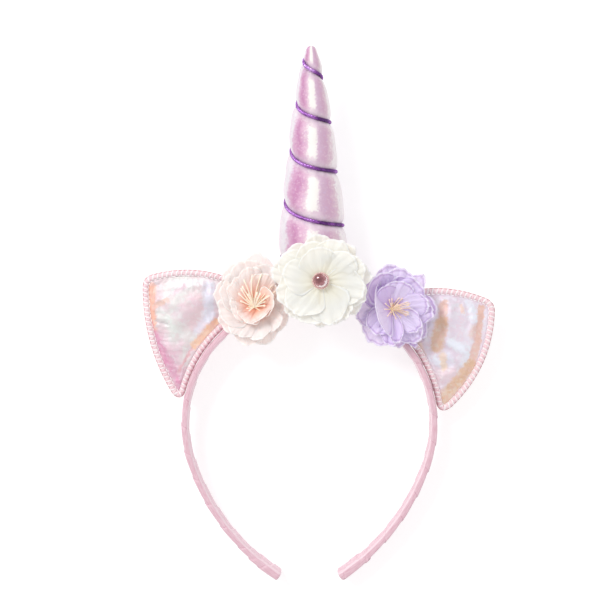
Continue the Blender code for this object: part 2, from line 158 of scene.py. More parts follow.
def finish(piece, slot, look, *nodes):
    """Lays a piece down, smooths and colours it, and hides the plain solids it stands for."""
    lay_down(piece)
    choose(piece)
    bpy.ops.object.shade_smooth()
    piece.data.materials.clear()
    piece.data.materials.append(look)
    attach(piece, "root")
    if nodes:
        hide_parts(*nodes)
    piece.data.calc_loop_triangles()
    print(piece.name, "has", len(piece.data.loop_triangles), "triangles")


def smooth_step(value, low, high):
    share = np.clip((value - low) / (high - low), 0, 1)
    return share * share * (3 - 2 * share)


def wander(places, scale, seed=0.0):
    """Smooth noise from -1 to 1 at each place."""
    return np.array([noise.noise(Vector(place) * scale + Vector((seed, seed, seed))) for place in places])


# %% [markdown]
# ## Materials as sentences
#
# Shader nodes can be placed one by one, but long chains are hard to read. Here a small class wraps a socket
# and knows plus, minus, times and divide, so a mask is written as an expression. One method of `Look` adds
# any node: settings first, then the values or links of its sockets.

# %% A wrapped socket and a material that grows nodes
class Socket:
    def __init__(self, look, output):
        self.look = look
        self.output = output

    def maths(self, operation, first, second):
        return self.look.node("Math", {"operation": operation}, first, second)

    def __add__(self, other):
        return self.maths("ADD", self, other)

    def __radd__(self, other):
        return self.maths("ADD", other, self)

    def __sub__(self, other):
        return self.maths("SUBTRACT", self, other)

    def __rsub__(self, other):
        return self.maths("SUBTRACT", other, self)

    def __mul__(self, other):
        return self.maths("MULTIPLY", self, other)

    def __rmul__(self, other):
        return self.maths("MULTIPLY", other, self)

    def __truediv__(self, other):
        return self.maths("DIVIDE", self, other)

    def __rtruediv__(self, other):
        return self.maths("DIVIDE", other, self)

class Look:
    """A material with a Principled BSDF whose fixed values are given as they are on its sockets."""

    def __init__(self, name, **fixed):
        self.material = bpy.data.materials.new(name)
        self.material.use_nodes = True
        self.tree = self.material.node_tree
        self.shader = self.tree.nodes["Principled BSDF"]
        self.set(**fixed)

    def plug(self, socket, value):
        if isinstance(value, Socket):
            self.tree.links.new(value.output, socket)
        elif isinstance(value, tuple) and len(value) == 3 and socket.type == "RGBA":
            socket.default_value = (*value, 1.0)
        else:
            socket.default_value = value

    def node(self, kind, settings, *values, out=None, **named):
        made = self.tree.nodes.new("ShaderNode" + kind)
        stops = settings.pop("stops", None)
        for name, value in settings.items():
            setattr(made, name, value)
        if stops:
            ramp = made.color_ramp
            while len(ramp.elements) < len(stops):
                ramp.elements.new(1.0)
            for element, (place, colour) in zip(ramp.elements, stops):
                element.position = place
                element.color = (*colour, 1.0)
        open_inputs = [socket for socket in made.inputs if socket.enabled]
        for socket, value in zip(open_inputs, values):
            self.plug(socket, value)
        for name, value in named.items():
            self.plug(made.inputs[name.replace("_", " ")], value)
        outputs = [socket for socket in made.outputs if socket.enabled]
        return Socket(self, made.outputs[out] if out else outputs[0])

    def set(self, **values):
        for name, value in values.items():
            self.plug(self.shader.inputs[name.replace("_", " ")], value)

    def place(self):
        return self.node("TexCoord", {}, out="Object")

    def uv(self, part=None):
        whole = self.node("TexCoord", {}, out="UV")
        return self.node("SeparateXYZ", {}, whole, out=part) if part else whole

    def marked(self, name):
        return self.node("Attribute", {"attribute_name": name}, out="Fac")

    def noise(self, scale, detail=3.0, coordinates=None, roughness=0.5):
        where = coordinates or self.place()
        amounts = {"Scale": scale, "Detail": detail, "Roughness": roughness}
        return self.node("TexNoise", {}, out="Fac", Vector=where, **amounts)

    def blend(self, share, low, high):
        return self.node("Mix", {"data_type": "RGBA"}, share, low, high)

    def stretch(self, value, low, high, to_low=0.0, to_high=1.0):
        settings = {"interpolation_type": "SMOOTHSTEP", "clamp": True}
        return self.node("MapRange", settings, value, low, high, to_low, to_high)

    def ramp(self, value, stops):
        return self.node("ValToRGB", {"stops": stops}, value)

    def bump(self, height, distance, strength=1.0):
        self.set(Normal=self.node("Bump", {}, Strength=strength, Distance=distance, Height=height))


print("material tools ready")

# %% [markdown]
# ## Table, light and camera
#
# The photograph is a product shot from above on pure white: soft light from the upper left, faint shadows
# to the lower right. A big area light gives the direction, and a white world fills the rest, so that the
# shadow stays pale. The camera looks straight down from 0.65 m, which gives the slight perspective that the
# inside of the hoop shows.

# %% Table, light and camera
TABLE_SIZE = 8.0
CAMERA_HEIGHT = 0.650
VIEW_CENTRE = (-0.00934, 0.00755)
FOCAL_PIXELS = 1274.3
PHOTO_PIXELS = 600

scene = bpy.context.scene
scene.view_settings.view_transform = "Standard"

bpy.ops.mesh.primitive_plane_add(size=TABLE_SIZE, location=(0, 0, 0))
table = bpy.context.object
table.name = "table"
white = Look("white_table", Base_Color=(0.60, 0.60, 0.60), Roughness=0.8, Specular_IOR_Level=0.1,
             Emission_Color=(1.0, 1.0, 1.0), Emission_Strength=0.53)
table.data.materials.append(white.material)
table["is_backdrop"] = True

camera_data = bpy.data.cameras.new("camera")
camera_data.lens = FOCAL_PIXELS / PHOTO_PIXELS * camera_data.sensor_width
camera = bpy.data.objects.new("camera", camera_data)
camera.location = (*VIEW_CENTRE, CAMERA_HEIGHT)
scene.collection.objects.link(camera)
scene.camera = camera


def area_light(name, place, size, power, tint=(1, 1, 1)):
    data = bpy.data.lights.new(name, "AREA")
    data.size = size
    data.energy = power
    data.color = tint
    lamp = bpy.data.objects.new(name, data)
    lamp.location = place
    lamp.rotation_euler = (-Vector(place)).to_track_quat("-Z", "Y").to_euler()
    scene.collection.objects.link(lamp)


area_light("window", (-0.75, 0.70, 0.95), 0.50, 10.0)
area_light("fill", (0.9, -0.5, 0.9), 0.9, 2.2, (1.0, 0.98, 0.99))
world = bpy.data.worlds.new("white_room")
world.use_nodes = True
world.node_tree.nodes["Background"].inputs["Color"].default_value = (1, 1, 1, 1)
world.node_tree.nodes["Background"].inputs["Strength"].default_value = 0.71
scene.world = world
print("camera", round(camera_data.lens, 1), "mm lens at", CAMERA_HEIGHT, "m")

# %% [markdown]
# ## The hoop
#
# The hoop is a flat spring, bent to the head: one large arc over the top and a flatter arc down each side.
# `hoop_line` walks along it from the top, right side positive.

# %% The hoop's line
HOOP_RADIUS = 63.8 * MM
HOOP_BEND = math.radians(108)
ARM_RADIUS = 112 * MM
ARM_BEND = math.radians(38)
UPPER_LENGTH = HOOP_RADIUS * HOOP_BEND
HALF_LENGTH = UPPER_LENGTH + ARM_RADIUS * ARM_BEND


def hoop_line(along):
    """Points on the hoop's outer face and the ways outwards, both in the hoop's plane."""
    run = np.abs(along)
    side = np.where(along < 0, -1.0, 1.0)
    on_arm = run > UPPER_LENGTH
    angle = np.where(on_arm, HOOP_BEND + (run - UPPER_LENGTH) / ARM_RADIUS, run / HOOP_RADIUS)
    radius = np.where(on_arm, ARM_RADIUS, HOOP_RADIUS)
    shift = np.where(on_arm, HOOP_RADIUS - ARM_RADIUS, 0.0)
    out = np.stack([side * np.sin(angle), np.cos(angle)], axis=1)
    centre = np.stack([side * shift * math.sin(HOOP_BEND), shift * math.cos(HOOP_BEND)], axis=1)
    return centre + radius[:, None] * out, out


def table_under(places):
    """How low the table lies under each point, in the tipped frame of the hoop."""
    return -(places[:, 1] * math.sin(LEAN_BACK) + HOOP_CENTRE.z) / math.cos(LEAN_BACK)


print("hoop length", round(2 * HALF_LENGTH / MM), "mm")

# %% [markdown]
# ## The ribbon round the hoop
#
# Real ribbon is wound in a steep spiral, each turn half over the last. Modelling it as a long twisted strip
# would give thousands of hidden faces, so the wrapped band is one skin: a grid rolled into a rounded bar
# and led along the hoop. The height of every point follows the spiral. It climbs slowly across one turn of
# ribbon and drops at its edge, which draws the slanting laps. Near both ends a last turn is folded over, so
# the skin is thicker there.

# %% The wrapped band
BAND_WIDTH = 10 * MM
BAND_THICKNESS = 3.2 * MM
WRAP_PITCH = 14 * MM
WRAP_RISE = 0.38 * MM
FOLD_LENGTH = 15 * MM
FOLD_RISE = 0.55 * MM
BAR_SQUARENESS = 4.6
CREASE_DEPTH = 0.06 * MM
RIBBON_SKIN = 0.35 * MM
TIP_REACH = BAND_WIDTH * 0.12
FOLD_SLANT = 3.0 * MM
FOLD_STEP = 0.7 * MM
BAND_AROUND, BAND_ALONG = 36, 900

band, band_u, band_v = grid("band_ribbon", BAND_AROUND, BAND_ALONG)
along = (band_v - 0.5) * 2 * (HALF_LENGTH + TIP_REACH)
beyond = np.clip((np.abs(along) - HALF_LENGTH) / TIP_REACH, 0, 1)
tip_round = np.sqrt(np.clip(1 - beyond**2 * 0.9, 0, 1))
turn = 2 * math.pi * band_u
rounded = 2 / BAR_SQUARENESS
depth = np.sign(np.cos(turn)) * np.abs(np.cos(turn)) ** rounded
height = np.sign(np.sin(turn)) * np.abs(np.sin(turn)) ** rounded
lap = np.mod(along / WRAP_PITCH - band_u + 0.25, 1.0)
rise = WRAP_RISE * (lap * (1 - smooth_step(lap, 0.95, 1.0)))
slanted = np.abs(along) + FOLD_SLANT * np.sin(turn)
fold_start = HALF_LENGTH - FOLD_LENGTH
rise = rise + FOLD_RISE * smooth_step(slanted, fold_start, fold_start + FOLD_STEP)
crease_place = np.stack([along * 140 + 2 * np.sin(turn), 2 * np.cos(turn), np.sin(turn)], axis=1)
rise = rise + CREASE_DEPTH * wander(crease_place, 1.0)
on_line = np.clip(along, -HALF_LENGTH, HALF_LENGTH)
spot, out = hoop_line(on_line)
onward = np.stack([out[:, 1], -out[:, 0]], axis=1) * (along - on_line)[:, None]
level = -BAND_THICKNESS / 2 + tip_round * height * (BAND_THICKNESS / 2 + rise)
places = np.column_stack([spot + onward + out * level[:, None], tip_round * depth * (BAND_WIDTH / 2 + rise)])
places[:, 2] = np.maximum(places[:, 2], table_under(places))
reshape(band, places)
mark(band, "lap", lap)
close_up(band)
print("ribbon laps:", round(2 * HALF_LENGTH / WRAP_PITCH))

# %% [markdown]
# ## Satin
#
# Satin shines across its threads. A very fine bump of lines round the band and faint streaks in the colour
# are enough to read as ribbon. Painted shade makes the colour deeper pink just below the raised edge of each
# lap, and a painted highlight lightens that edge. Along the band's edges the colour holds painted shade at the
# outer corner and a painted highlight at the inner one. The shine itself is a soft roughness with some sheen,
# set once on the shader.

# %% Satin ribbon
PALE_PINK = (0.71, 0.42, 0.50)
SHADE_PINK = (0.56, 0.26, 0.36)
LIGHT_PINK = (0.80, 0.56, 0.63)


def satin():
    look = Look("satin_ribbon", Sheen_Weight=0.35, Sheen_Roughness=0.4, Specular_IOR_Level=0.6)
    across, along = look.uv("X"), look.uv("Y")
    lap = look.marked("lap")
    streaks = look.noise(1.0, 2.0, look.node("CombineXYZ", {}, across * 60, along * 90, 0.0))
    colour = look.blend(look.stretch(streaks, 0.3, 0.7), PALE_PINK, LIGHT_PINK)
    # Painted shade: deeper pink just below the raised edge of each lap.
    under = look.stretch(lap, 0.0, 0.06, 1.0, 0.0)
    # Painted highlight: lighter pink along the raised edge of each lap.
    edge = look.stretch(lap, 0.93, 0.99)
    colour = look.blend(under * 0.75, colour, SHADE_PINK)
    colour = look.blend(edge * 0.5, colour, LIGHT_PINK)
    # Painted shade at the outer corner of the band, and a painted highlight at the inner corner.
    outer_corner_shade = look.stretch(across, 0.09, 0.13) * look.stretch(across, 0.16, 0.22, 1.0, 0.0)
    inner_corner_highlight = look.stretch(across, 0.80, 0.87) * look.stretch(across, 0.91, 0.97, 1.0, 0.0)
    colour = look.blend(outer_corner_shade * 0.55, colour, SHADE_PINK)
    colour = look.blend(inner_corner_highlight * 0.70, colour, (0.90, 0.74, 0.79))
    look.set(Base_Color=colour, Roughness=0.36 + streaks * 0.14)
    threads = look.node("Math", {"operation": "SINE"}, along * 9000)
    look.bump(threads * 0.3 + streaks * 1.2, 0.00006, 0.6)
    return look.material


finish(band, "ribbon", satin(), "band")

# %% [markdown]
# ## The stuffed horn
#
# The horn is a cone of cloth, stuffed firmly and wound with a cord that pulls it in. A lathe could turn the
# cone, but not the spiral groove. So a grid is rolled into a cone, and the rule for its radius adds three
# things: the plain outline from a short table, a groove where the cord runs, and the pillow between two
# turns of the cord.

# %% The horn's outline and the cord's path
HORN_HEIGHT = 124 * MM
HORN_RADIUS = 16.5 * MM
HORN_X = 2.0 * MM
HORN_LEAN = math.radians(-0.6)
HORN_SECTIONS = (
    (0.000, 0.000), (0.004, 0.090), (0.012, 0.145), (0.030, 0.185), (0.063, 0.262), (0.135, 0.350),
    (0.220, 0.460), (0.305, 0.575), (0.414, 0.667), (0.507, 0.757), (0.614, 0.855), (0.725, 0.945),
    (0.815, 0.980), (0.900, 0.990), (0.955, 0.940), (1.000, 0.760), (1.100, 0.700),
)
CORD_DIAMETER = 1.9 * MM
CORD_START = 6.2 * MM
CORD_END = 7.5 * MM
CORD_SPREAD = 0.252
CORD_DIP = 1.3 * MM
CORD_DIP_TURN = 0.15
CORD_SAG = 2.8 * MM
CORD_SAG_TURNS = 2.2
CORD_FIRST_TURN = -0.05
CORD_LAST_TURN = 4.45

HORN_AXIS = np.array([math.sin(HORN_LEAN), math.cos(HORN_LEAN), 0.0])
HORN_ACROSS = np.array([HORN_AXIS[1], -HORN_AXIS[0], 0.0])
HORN_TIP = np.array([HORN_X, HOOP_RADIUS, 0.0]) + HORN_HEIGHT * HORN_AXIS


def smooth_table(rows, value):
    """Reads a table of (place, value) on a smooth curve through its rows."""
    places, values = np.array(rows).T
    slopes = np.gradient(values, places)
    row = np.clip(np.searchsorted(places, value) - 1, 0, len(places) - 2)
    step = places[row + 1] - places[row]
    share = np.clip((value - places[row]) / step, 0, 1)
    rest = 1 - share
    bend = share * rest * (rest * (slopes[row] * step) - share * (slopes[row + 1] * step))
    blend = share * share * (3 - 2 * share)
    return values[row] + blend * (values[row + 1] - values[row]) + bend


def horn_radius(down):
    return HORN_RADIUS * smooth_table(HORN_SECTIONS, down / HORN_HEIGHT)


def cord_down(turn):
    share = turn / CORD_LAST_TURN
    span = HORN_HEIGHT - CORD_START - CORD_END
    dip = CORD_DIP * np.cos(2 * math.pi * (turn - CORD_DIP_TURN))
    sag = CORD_SAG * smooth_step(turn, 0, CORD_SAG_TURNS) * np.sin(2 * math.pi * turn)
    return CORD_START + span * share * (1 + CORD_SPREAD * share) / (1 + CORD_SPREAD) + dip + sag


def horn_places(down, radius, turn):
    """Whole turns lie on the left of the horn and quarter turns on its front."""
    angle = 2 * math.pi * turn
    side = -np.cos(angle)[:, None] * HORN_ACROSS + np.sin(angle)[:, None] * np.array([0, 0, 1.0])
    return HORN_TIP - down[:, None] * HORN_AXIS + radius[:, None] * side


print("the cord goes round", CORD_LAST_TURN - CORD_FIRST_TURN, "times")

# %% [markdown]
# The cloth is pressed in by a little less than the cord's own thickness, so the cord lies in a soft valley.
# Short gathers run out of the valley, because the cord shortens the cloth there. The back is flattened
# where the horn lies on the table, and the foot is hollowed to sit astride the hoop.

# %% The horn
PUFF_RISE = 1.0 * MM
VALLEY_DEPTH = 1.65 * MM
VALLEY_SHARPNESS = 4.5
GATHER_DEPTH = 0.32 * MM
GATHER_REACH = 5.0 * MM
SLACK = 0.20 * MM
SEAT_GAP = 0.4 * MM
FOOT_SHARE = 0.05
PUFF_START = 20 * MM
SLACK_START = 12 * MM
SLACK_LENGTH = 9 * MM
NEAR_CORD = 1.7 * MM
TIP_CROWDING = 1.15
HORN_AROUND, HORN_ALONG = 132, 400

horn, horn_u, horn_v = grid("horn_cloth", HORN_AROUND, HORN_ALONG)
foot = np.clip((horn_v - (1 - FOOT_SHARE)) / FOOT_SHARE, 0, 1)
down = np.clip(horn_v / (1 - FOOT_SHARE), 0, 1) ** TIP_CROWDING * HORN_HEIGHT
passed = np.arange(-2, 7)
lines = cord_down(passed[None, :] + horn_u[:, None])
above = np.clip((lines <= down[:, None]).sum(axis=1) - 1, 0, len(passed) - 2)
row = np.arange(len(down))
upper, lower = lines[row, above], lines[row, above + 1]
between = np.clip((down - upper) / (lower - upper), 0, 1)
nearest = np.minimum(down - upper, lower - down)
turn_here = passed[above] + horn_u + between
wound = smooth_step(turn_here, CORD_FIRST_TURN - 0.06, CORD_FIRST_TURN + 0.10)
wound = wound * (1 - smooth_step(turn_here, CORD_LAST_TURN + 0.75, CORD_LAST_TURN + 0.95))
pillow = 1 - np.abs(2 * between - 1) ** VALLEY_SHARPNESS
radius = horn_radius(down) + PUFF_RISE * np.clip(down / PUFF_START, 0, 1)
radius = radius - wound * (1 - pillow) * (VALLEY_DEPTH + PUFF_RISE)
angle = 2 * math.pi * horn_u
round_place = np.stack([np.cos(angle), np.sin(angle), down / SLACK_LENGTH], axis=1)
gather_place = np.stack([np.cos(angle) * 7, np.sin(angle) * 7, turn_here * 2.0], axis=1)
gathers = wander(gather_place, 1.0, 3.1) * GATHER_DEPTH * np.exp(-((nearest / GATHER_REACH) ** 2)) * wound
radius = radius + gathers + SLACK * wander(round_place, 1.6, 9.2) * np.clip(down / SLACK_START, 0, 1)
radius = radius * np.sqrt(np.clip(1 - foot**2 * 0.999, 0, 1))
places = horn_places(down, radius, horn_u)
seat = HOOP_RADIUS + WRAP_RISE + SEAT_GAP
seat_y = np.sqrt(np.clip(seat**2 - places[:, 0] ** 2, 0, None))
settled = smooth_step(down, 0.93 * HORN_HEIGHT, HORN_HEIGHT)
places[:, 1] = np.maximum(places[:, 1] + settled * (seat_y - places[:, 1]) * (foot > 0), seat_y)
places[:, 2] = np.maximum(places[:, 2], table_under(places))
reshape(horn, places)
mark(horn, "near_cord", np.exp(-((nearest / NEAR_CORD) ** 2)) * wound)
mark(horn, "pillow", np.where(wound > 0, np.sin(math.pi * between), 0.7))
close_up(horn)
print("horn widest", round(2 * radius.max() / MM, 1), "mm")

# %% [markdown]
# ## Pearly lame
#
# The horn's cloth is woven with flat foil threads, pearly pink and lilac. Where each colour lies is painted
# reflection: seen from the front the cloth is white where it faces the window, a painted highlight, rose to the
# left of that and mauve to the right, and pale at both sides, so the colour follows the way round the horn. The
# painted reflection is strongest on the fullest part of each pillow and pales towards the cord, where the cloth
# turns down, and right beside the cord painted shade darkens the groove. Noise breaks up every edge into small
# flakes, because the foil has cracked in washing and handling.

# %% Horn cloth
HORN_PALE = (0.83, 0.73, 0.78)
HORN_SHINE = (0.96, 0.93, 0.89)
HORN_TONE_AND_REFLECTION_STOPS = (
    (0.00, (0.76, 0.64, 0.71)), (0.085, (0.77, 0.73, 0.77)), (0.115, (0.65, 0.39, 0.55)),
    (0.155, (0.54, 0.23, 0.42)), (0.195, (0.70, 0.42, 0.58)), (0.235, (0.84, 0.70, 0.76)),
    (0.275, (0.76, 0.56, 0.69)), (0.300, (0.66, 0.45, 0.60)), (0.345, (0.66, 0.40, 0.56)),
    (0.385, (0.76, 0.56, 0.65)), (0.41, (0.90, 0.83, 0.85)), (0.50, (0.90, 0.84, 0.86)),
    (0.62, (0.74, 0.55, 0.68)), (0.74, (0.88, 0.79, 0.84)), (0.86, (0.68, 0.42, 0.60)),
    (1.00, (0.76, 0.64, 0.71)),
)
SHINE_PLACE = 0.250
SHINE_HALF_WIDTH = 0.038


def horn_lame():
    look = Look("pearl_lame", Metallic=0.28, Coat_Weight=0.2, Coat_Roughness=0.3, Sheen_Weight=0.15)
    around, down = look.uv("X"), look.uv("Y")
    wobble = look.noise(60.0, 2.0)
    small = look.noise(420.0, 3.0)
    flakes = look.node("TexVoronoi", {}, out="Color", Vector=look.place(), Scale=1400.0)
    flake = look.node("SeparateColor", {}, flakes)
    shifted = around + (wobble - 0.5) * 0.10 + (small - 0.5) * 0.05 + (flake - 0.5) * 0.018
    # Painted reflection: the foil's colours are set by the way round the horn.
    colour = look.ramp(shifted, HORN_TONE_AND_REFLECTION_STOPS)
    pillow = look.marked("pillow") + (small - 0.5) * 0.4
    # The painted reflection pales where the cloth turns down towards the cord.
    colour = look.blend(look.stretch(pillow, 0.05, 0.60, 0.70, 0.0), colour, HORN_PALE)
    # Painted shade: the colour darkens in the groove beside the cord.
    near = look.marked("near_cord")
    colour = look.blend(near * 0.45, colour, (0.58, 0.36, 0.52))
    colour = look.blend(look.stretch(flake, 0.82, 0.95) * 0.16, colour, (0.94, 0.90, 0.86))
    colour = look.blend(look.stretch(flake, 0.02, 0.14, 0.26, 0.0), colour, (0.66, 0.50, 0.74))
    crackle = look.noise(700.0, 4.0, roughness=0.7)
    # Painted highlight: a white oval on the fullest part of each pillow, where it faces the window.
    off_centre = look.node("Math", {"operation": "ABSOLUTE"}, around - SHINE_PLACE + (wobble - 0.5) * 0.03)
    reach = off_centre / SHINE_HALF_WIDTH + (crackle - 0.5) * 1.3 + (flake - 0.5) * 0.25
    shine = look.stretch(reach, 0.55, 1.05, 1.0, 0.0) * look.stretch(pillow + (crackle - 0.5) * 0.6, 0.42, 0.66)
    colour = look.blend(shine * 0.92, colour, HORN_SHINE)
    look.set(Base_Color=colour, Roughness=0.36 + small * 0.22)
    warp = look.node("Math", {"operation": "SINE"}, around * 2400)
    weft = look.node("Math", {"operation": "SINE"}, down * 3600)
    creases = look.noise(150.0, 4.0, roughness=0.6)
    look.bump(creases * 3.2 + warp * weft * 0.12 + small * 0.9 + flake * 0.15, 0.00024, 0.8)
    return look.material


finish(horn, "pearl_lame", horn_lame(), "horn")

# %% [markdown]
# ## The twisted cord
#
# The cord has three metallic purple strands. Twisting real strands is easy to see in a section: three
# circles that touch. That section is drawn once as a small closed curve and given to a second curve as its
# bevel, and the tilt of the points along the path turns it, which makes the twist.

# %% A twisted cord along a path
STRANDS = 3
STRAND_SIDES = 18
STRAND_BULGE = 0.13


def rope_section(name, radius):
    """A closed curve with one round lobe for each strand."""
    section = bpy.data.curves.new(name, "CURVE")
    spline = section.splines.new("POLY")
    spline.points.add(STRAND_SIDES - 1)
    for index, point in enumerate(spline.points):
        angle = 2 * math.pi * index / STRAND_SIDES
        size = radius * (1 - STRAND_BULGE + STRAND_BULGE * math.cos(STRANDS * angle))
        point.co = (size * math.cos(angle), size * math.sin(angle), 0, 1)
    spline.use_cyclic_u = True
    made = bpy.data.objects.new(name, section)
    scene.collection.objects.link(made)
    return made


def rope(name, path, radius, twist):
    """A cord along a path, twisted by so many radians a metre, as a closed mesh."""
    section = rope_section(name + "_section", radius)
    curve = bpy.data.curves.new(name, "CURVE")
    curve.dimensions = "3D"
    curve.bevel_mode = "OBJECT"
    curve.bevel_object = section
    curve.use_fill_caps = True
    spline = curve.splines.new("POLY")
    spline.points.add(len(path) - 1)
    steps = np.linalg.norm(np.diff(path, axis=0), axis=1)
    run = np.concatenate([[0], np.cumsum(steps)])
    for point, place, length in zip(spline.points, path, run):
        point.co = (*place, 1)
        point.tilt = twist * length
    made = bpy.data.objects.new(name, curve)
    scene.collection.objects.link(made)
    choose(made)
    bpy.ops.object.convert(target="MESH")
    bpy.data.objects.remove(section)
    made = bpy.context.object
    close_up(made, 1e-7)
    return made, run[-1]


CORD_TWIST = 2 * math.pi / (4.6 * MM)
CORD_POINTS_PER_TURN = 190
CORD_SUNK = 0.35 * CORD_DIAMETER
turns = np.linspace(CORD_FIRST_TURN, CORD_LAST_TURN, int(CORD_POINTS_PER_TURN * CORD_LAST_TURN))
cord_path = horn_places(cord_down(turns), horn_radius(cord_down(turns)) - CORD_SUNK, turns)
horn_cord, cord_length = rope("horn_cord_twist", cord_path, CORD_DIAMETER / 2, CORD_TWIST)
reach = points_of(horn_cord) - HORN_TIP
front_share = np.arctan2(reach[:, 2], -(reach @ HORN_ACROSS)) / (2 * math.pi)
mark(horn_cord, "around", np.mod(front_share, 1.0))
print("cord", round(cord_length / MM), "mm long")


PURPLE_STOPS = (
    (0.34, (0.08, 0.01, 0.14)), (0.46, (0.27, 0.07, 0.38)), (0.56, (0.46, 0.18, 0.62)),
    (0.68, (0.72, 0.46, 0.86)),
)


def purple_foil():
    look = Look("purple_foil", Metallic=0.75, Coat_Weight=0.4, Coat_Roughness=0.2)
    streak = look.noise(1500.0, 2.0)
    patch = look.noise(120.0, 2.0)
    around = look.marked("around")
    # Painted light and shade: the cord is a little lighter from the horn's left to its front and darker to the
    # right of the front.
    shade = look.stretch(around, 0.24, 0.33, 0.05, -0.13) + look.stretch(around, 0.40, 0.46, 0.0, 0.12)
    colour = look.ramp(patch * 0.5 + streak * 0.5 + shade, PURPLE_STOPS)
    look.set(Base_Color=colour, Roughness=0.22 + streak * 0.2)
    look.bump(streak, 0.00006, 0.6)
    return look.material


finish(horn_cord, "purple_cord", purple_foil(), "horn_cord")

# %% [markdown]
# ## The ears
#
# Each ear is a small three-sided cushion with its base against the hoop. Its outline is drawn by two bulged
# sides and an arc, with rounded corners, and is shared by the cushion and by the braid round it.

# %% The outline of an ear
EAR_THICKNESS = 5.2 * MM
EAR_CORNER = 6.0 * MM
EAR_TIP_CORNER = 3.2 * MM
EAR_REACH = 45.2 * MM
BRAID_DIAMETER = 3.0 * MM
BRAID_GAP = 0.3 * MM
OUTLINE_POINTS = 720
SIDE_POINTS = 60
CORNER_POINTS = 12


def on_hoop(radius, degrees, hand):
    angle = np.radians(degrees)
    return np.stack([hand * radius * np.sin(angle), radius * np.cos(angle), np.zeros_like(angle)], axis=-1)


def bulged(start, end, bulge, away, share):
    """Points on a shallow curve from start to end that bulges away from a given point."""
    chord = end - start
    out = np.array([-chord[1], chord[0], 0]) / np.linalg.norm(chord)
    out = out * np.sign(np.dot(start - away, out))
    return start + share[:, None] * chord + out * (4 * bulge * share * (1 - share))[:, None]


def even_steps(line, count):
    """The same closed line with evenly spaced points."""
    closed = np.vstack([line, line[:1]])
    run = np.concatenate([[0], np.cumsum(np.linalg.norm(np.diff(closed, axis=0), axis=1))])
    wanted = np.linspace(0, run[-1], count, endpoint=False)
    return np.stack([np.interp(wanted, run, closed[:, axis]) for axis in range(3)], axis=1), run[-1]


def ear_line(hand, near_angle, tip_angle, far_angle, bulge_top, bulge_side):
    """Closed and evenly spaced, from the corner near the flowers over the tip to the far corner and back."""
    radius = HOOP_RADIUS + RIBBON_SKIN + BRAID_GAP + BRAID_DIAMETER / 2
    near = on_hoop(radius, near_angle, hand)
    far = on_hoop(radius, far_angle, hand)
    tip = on_hoop(HOOP_RADIUS + EAR_REACH, tip_angle, hand)
    middle = (near + far + tip) / 3
    share = np.linspace(0, 1, SIDE_POINTS)
    corner_share = np.linspace(0, 1, CORNER_POINTS + 2)[1:-1, None]
    sides = []
    for kind, length in (("top", near - tip), ("side", tip - far), ("base", far - near)):
        first_cut = (EAR_TIP_CORNER if kind == "side" else EAR_CORNER) / np.linalg.norm(length)
        last_cut = (EAR_TIP_CORNER if kind == "top" else EAR_CORNER) / np.linalg.norm(length)
        inner = first_cut + share * (1 - first_cut - last_cut)
        if kind == "top":
            sides.append((bulged(near, tip, bulge_top, middle, inner), tip))
        elif kind == "side":
            sides.append((bulged(tip, far, bulge_side, middle, inner), far))
        else:
            sides.append((on_hoop(radius, far_angle + inner * (near_angle - far_angle), hand), near))
    line = []
    for index, (side, corner) in enumerate(sides):
        onward = sides[(index + 1) % 3][0][0]
        line.append(side)
        one = side[-1] + (corner - side[-1]) * corner_share
        two = corner + (onward - corner) * corner_share
        line.append(one + (two - one) * corner_share)
    return even_steps(np.vstack(line), OUTLINE_POINTS)


EAR_LINES = {
    "left": ear_line(-1, 21.0, 48.4, 79.5, 8.0 * MM, 5.0 * MM),
    "right": ear_line(1, 28.5, 56.5, 85.0, 7.5 * MM, 7.2 * MM),
}
for side, (line, length) in EAR_LINES.items():
    print(side, "ear is", round(length / MM), "mm round")

# %% [markdown]
# The cushion is a grid wrapped like a bag: the first rows cover the front from the middle to the edge, the
# rest cover the back. It starts thin. Then it is blown up as cloth: the seam is held, the cloth is let grow
# by a few percent, and the pressure pushes it out, so it wrinkles towards the seam as a stuffed cushion
# does. The cloth solver works on a copy ten times larger, where its own tolerances are small. Remeshing
# gives it even faces.

# %% Blowing up a cushion
EAR_FULLNESS = 3.4
SEAM_INSET = 1.40 * MM
SEAM_HELD = 0.9 * MM
CLOTH_SCALE = 10
CLOTH_VOXEL = 5.5 * MM
CLOTH_FRAMES = 20
CLOTH_PRESSURE = 0.25
CLOTH_GROWTH = 0.045
CLOTH_REACH = 3.0 * MM
CUSHION_AROUND, CUSHION_OUT = 180, 96


def inward(line, distance):
    """A closed flat line moved towards its inside."""
    onward = np.roll(line, -2, axis=0) - np.roll(line, 2, axis=0)
    across = np.stack([-onward[:, 1], onward[:, 0], onward[:, 2]], axis=1)
    across = across / np.linalg.norm(across, axis=1)[:, None]
    across = across * np.sign((across * (line.mean(axis=0) - line)).sum(axis=1).mean())
    return line + distance * across


def from_edge(places, edge):
    """How far each point lies from a closed line, seen from the front."""
    tree = KDTree(len(edge))
    for index, spot in enumerate(edge):
        tree.insert((spot[0], spot[1], 0), index)
    tree.balance()
    return np.array([tree.find((place[0], place[1], 0))[2] for place in places])


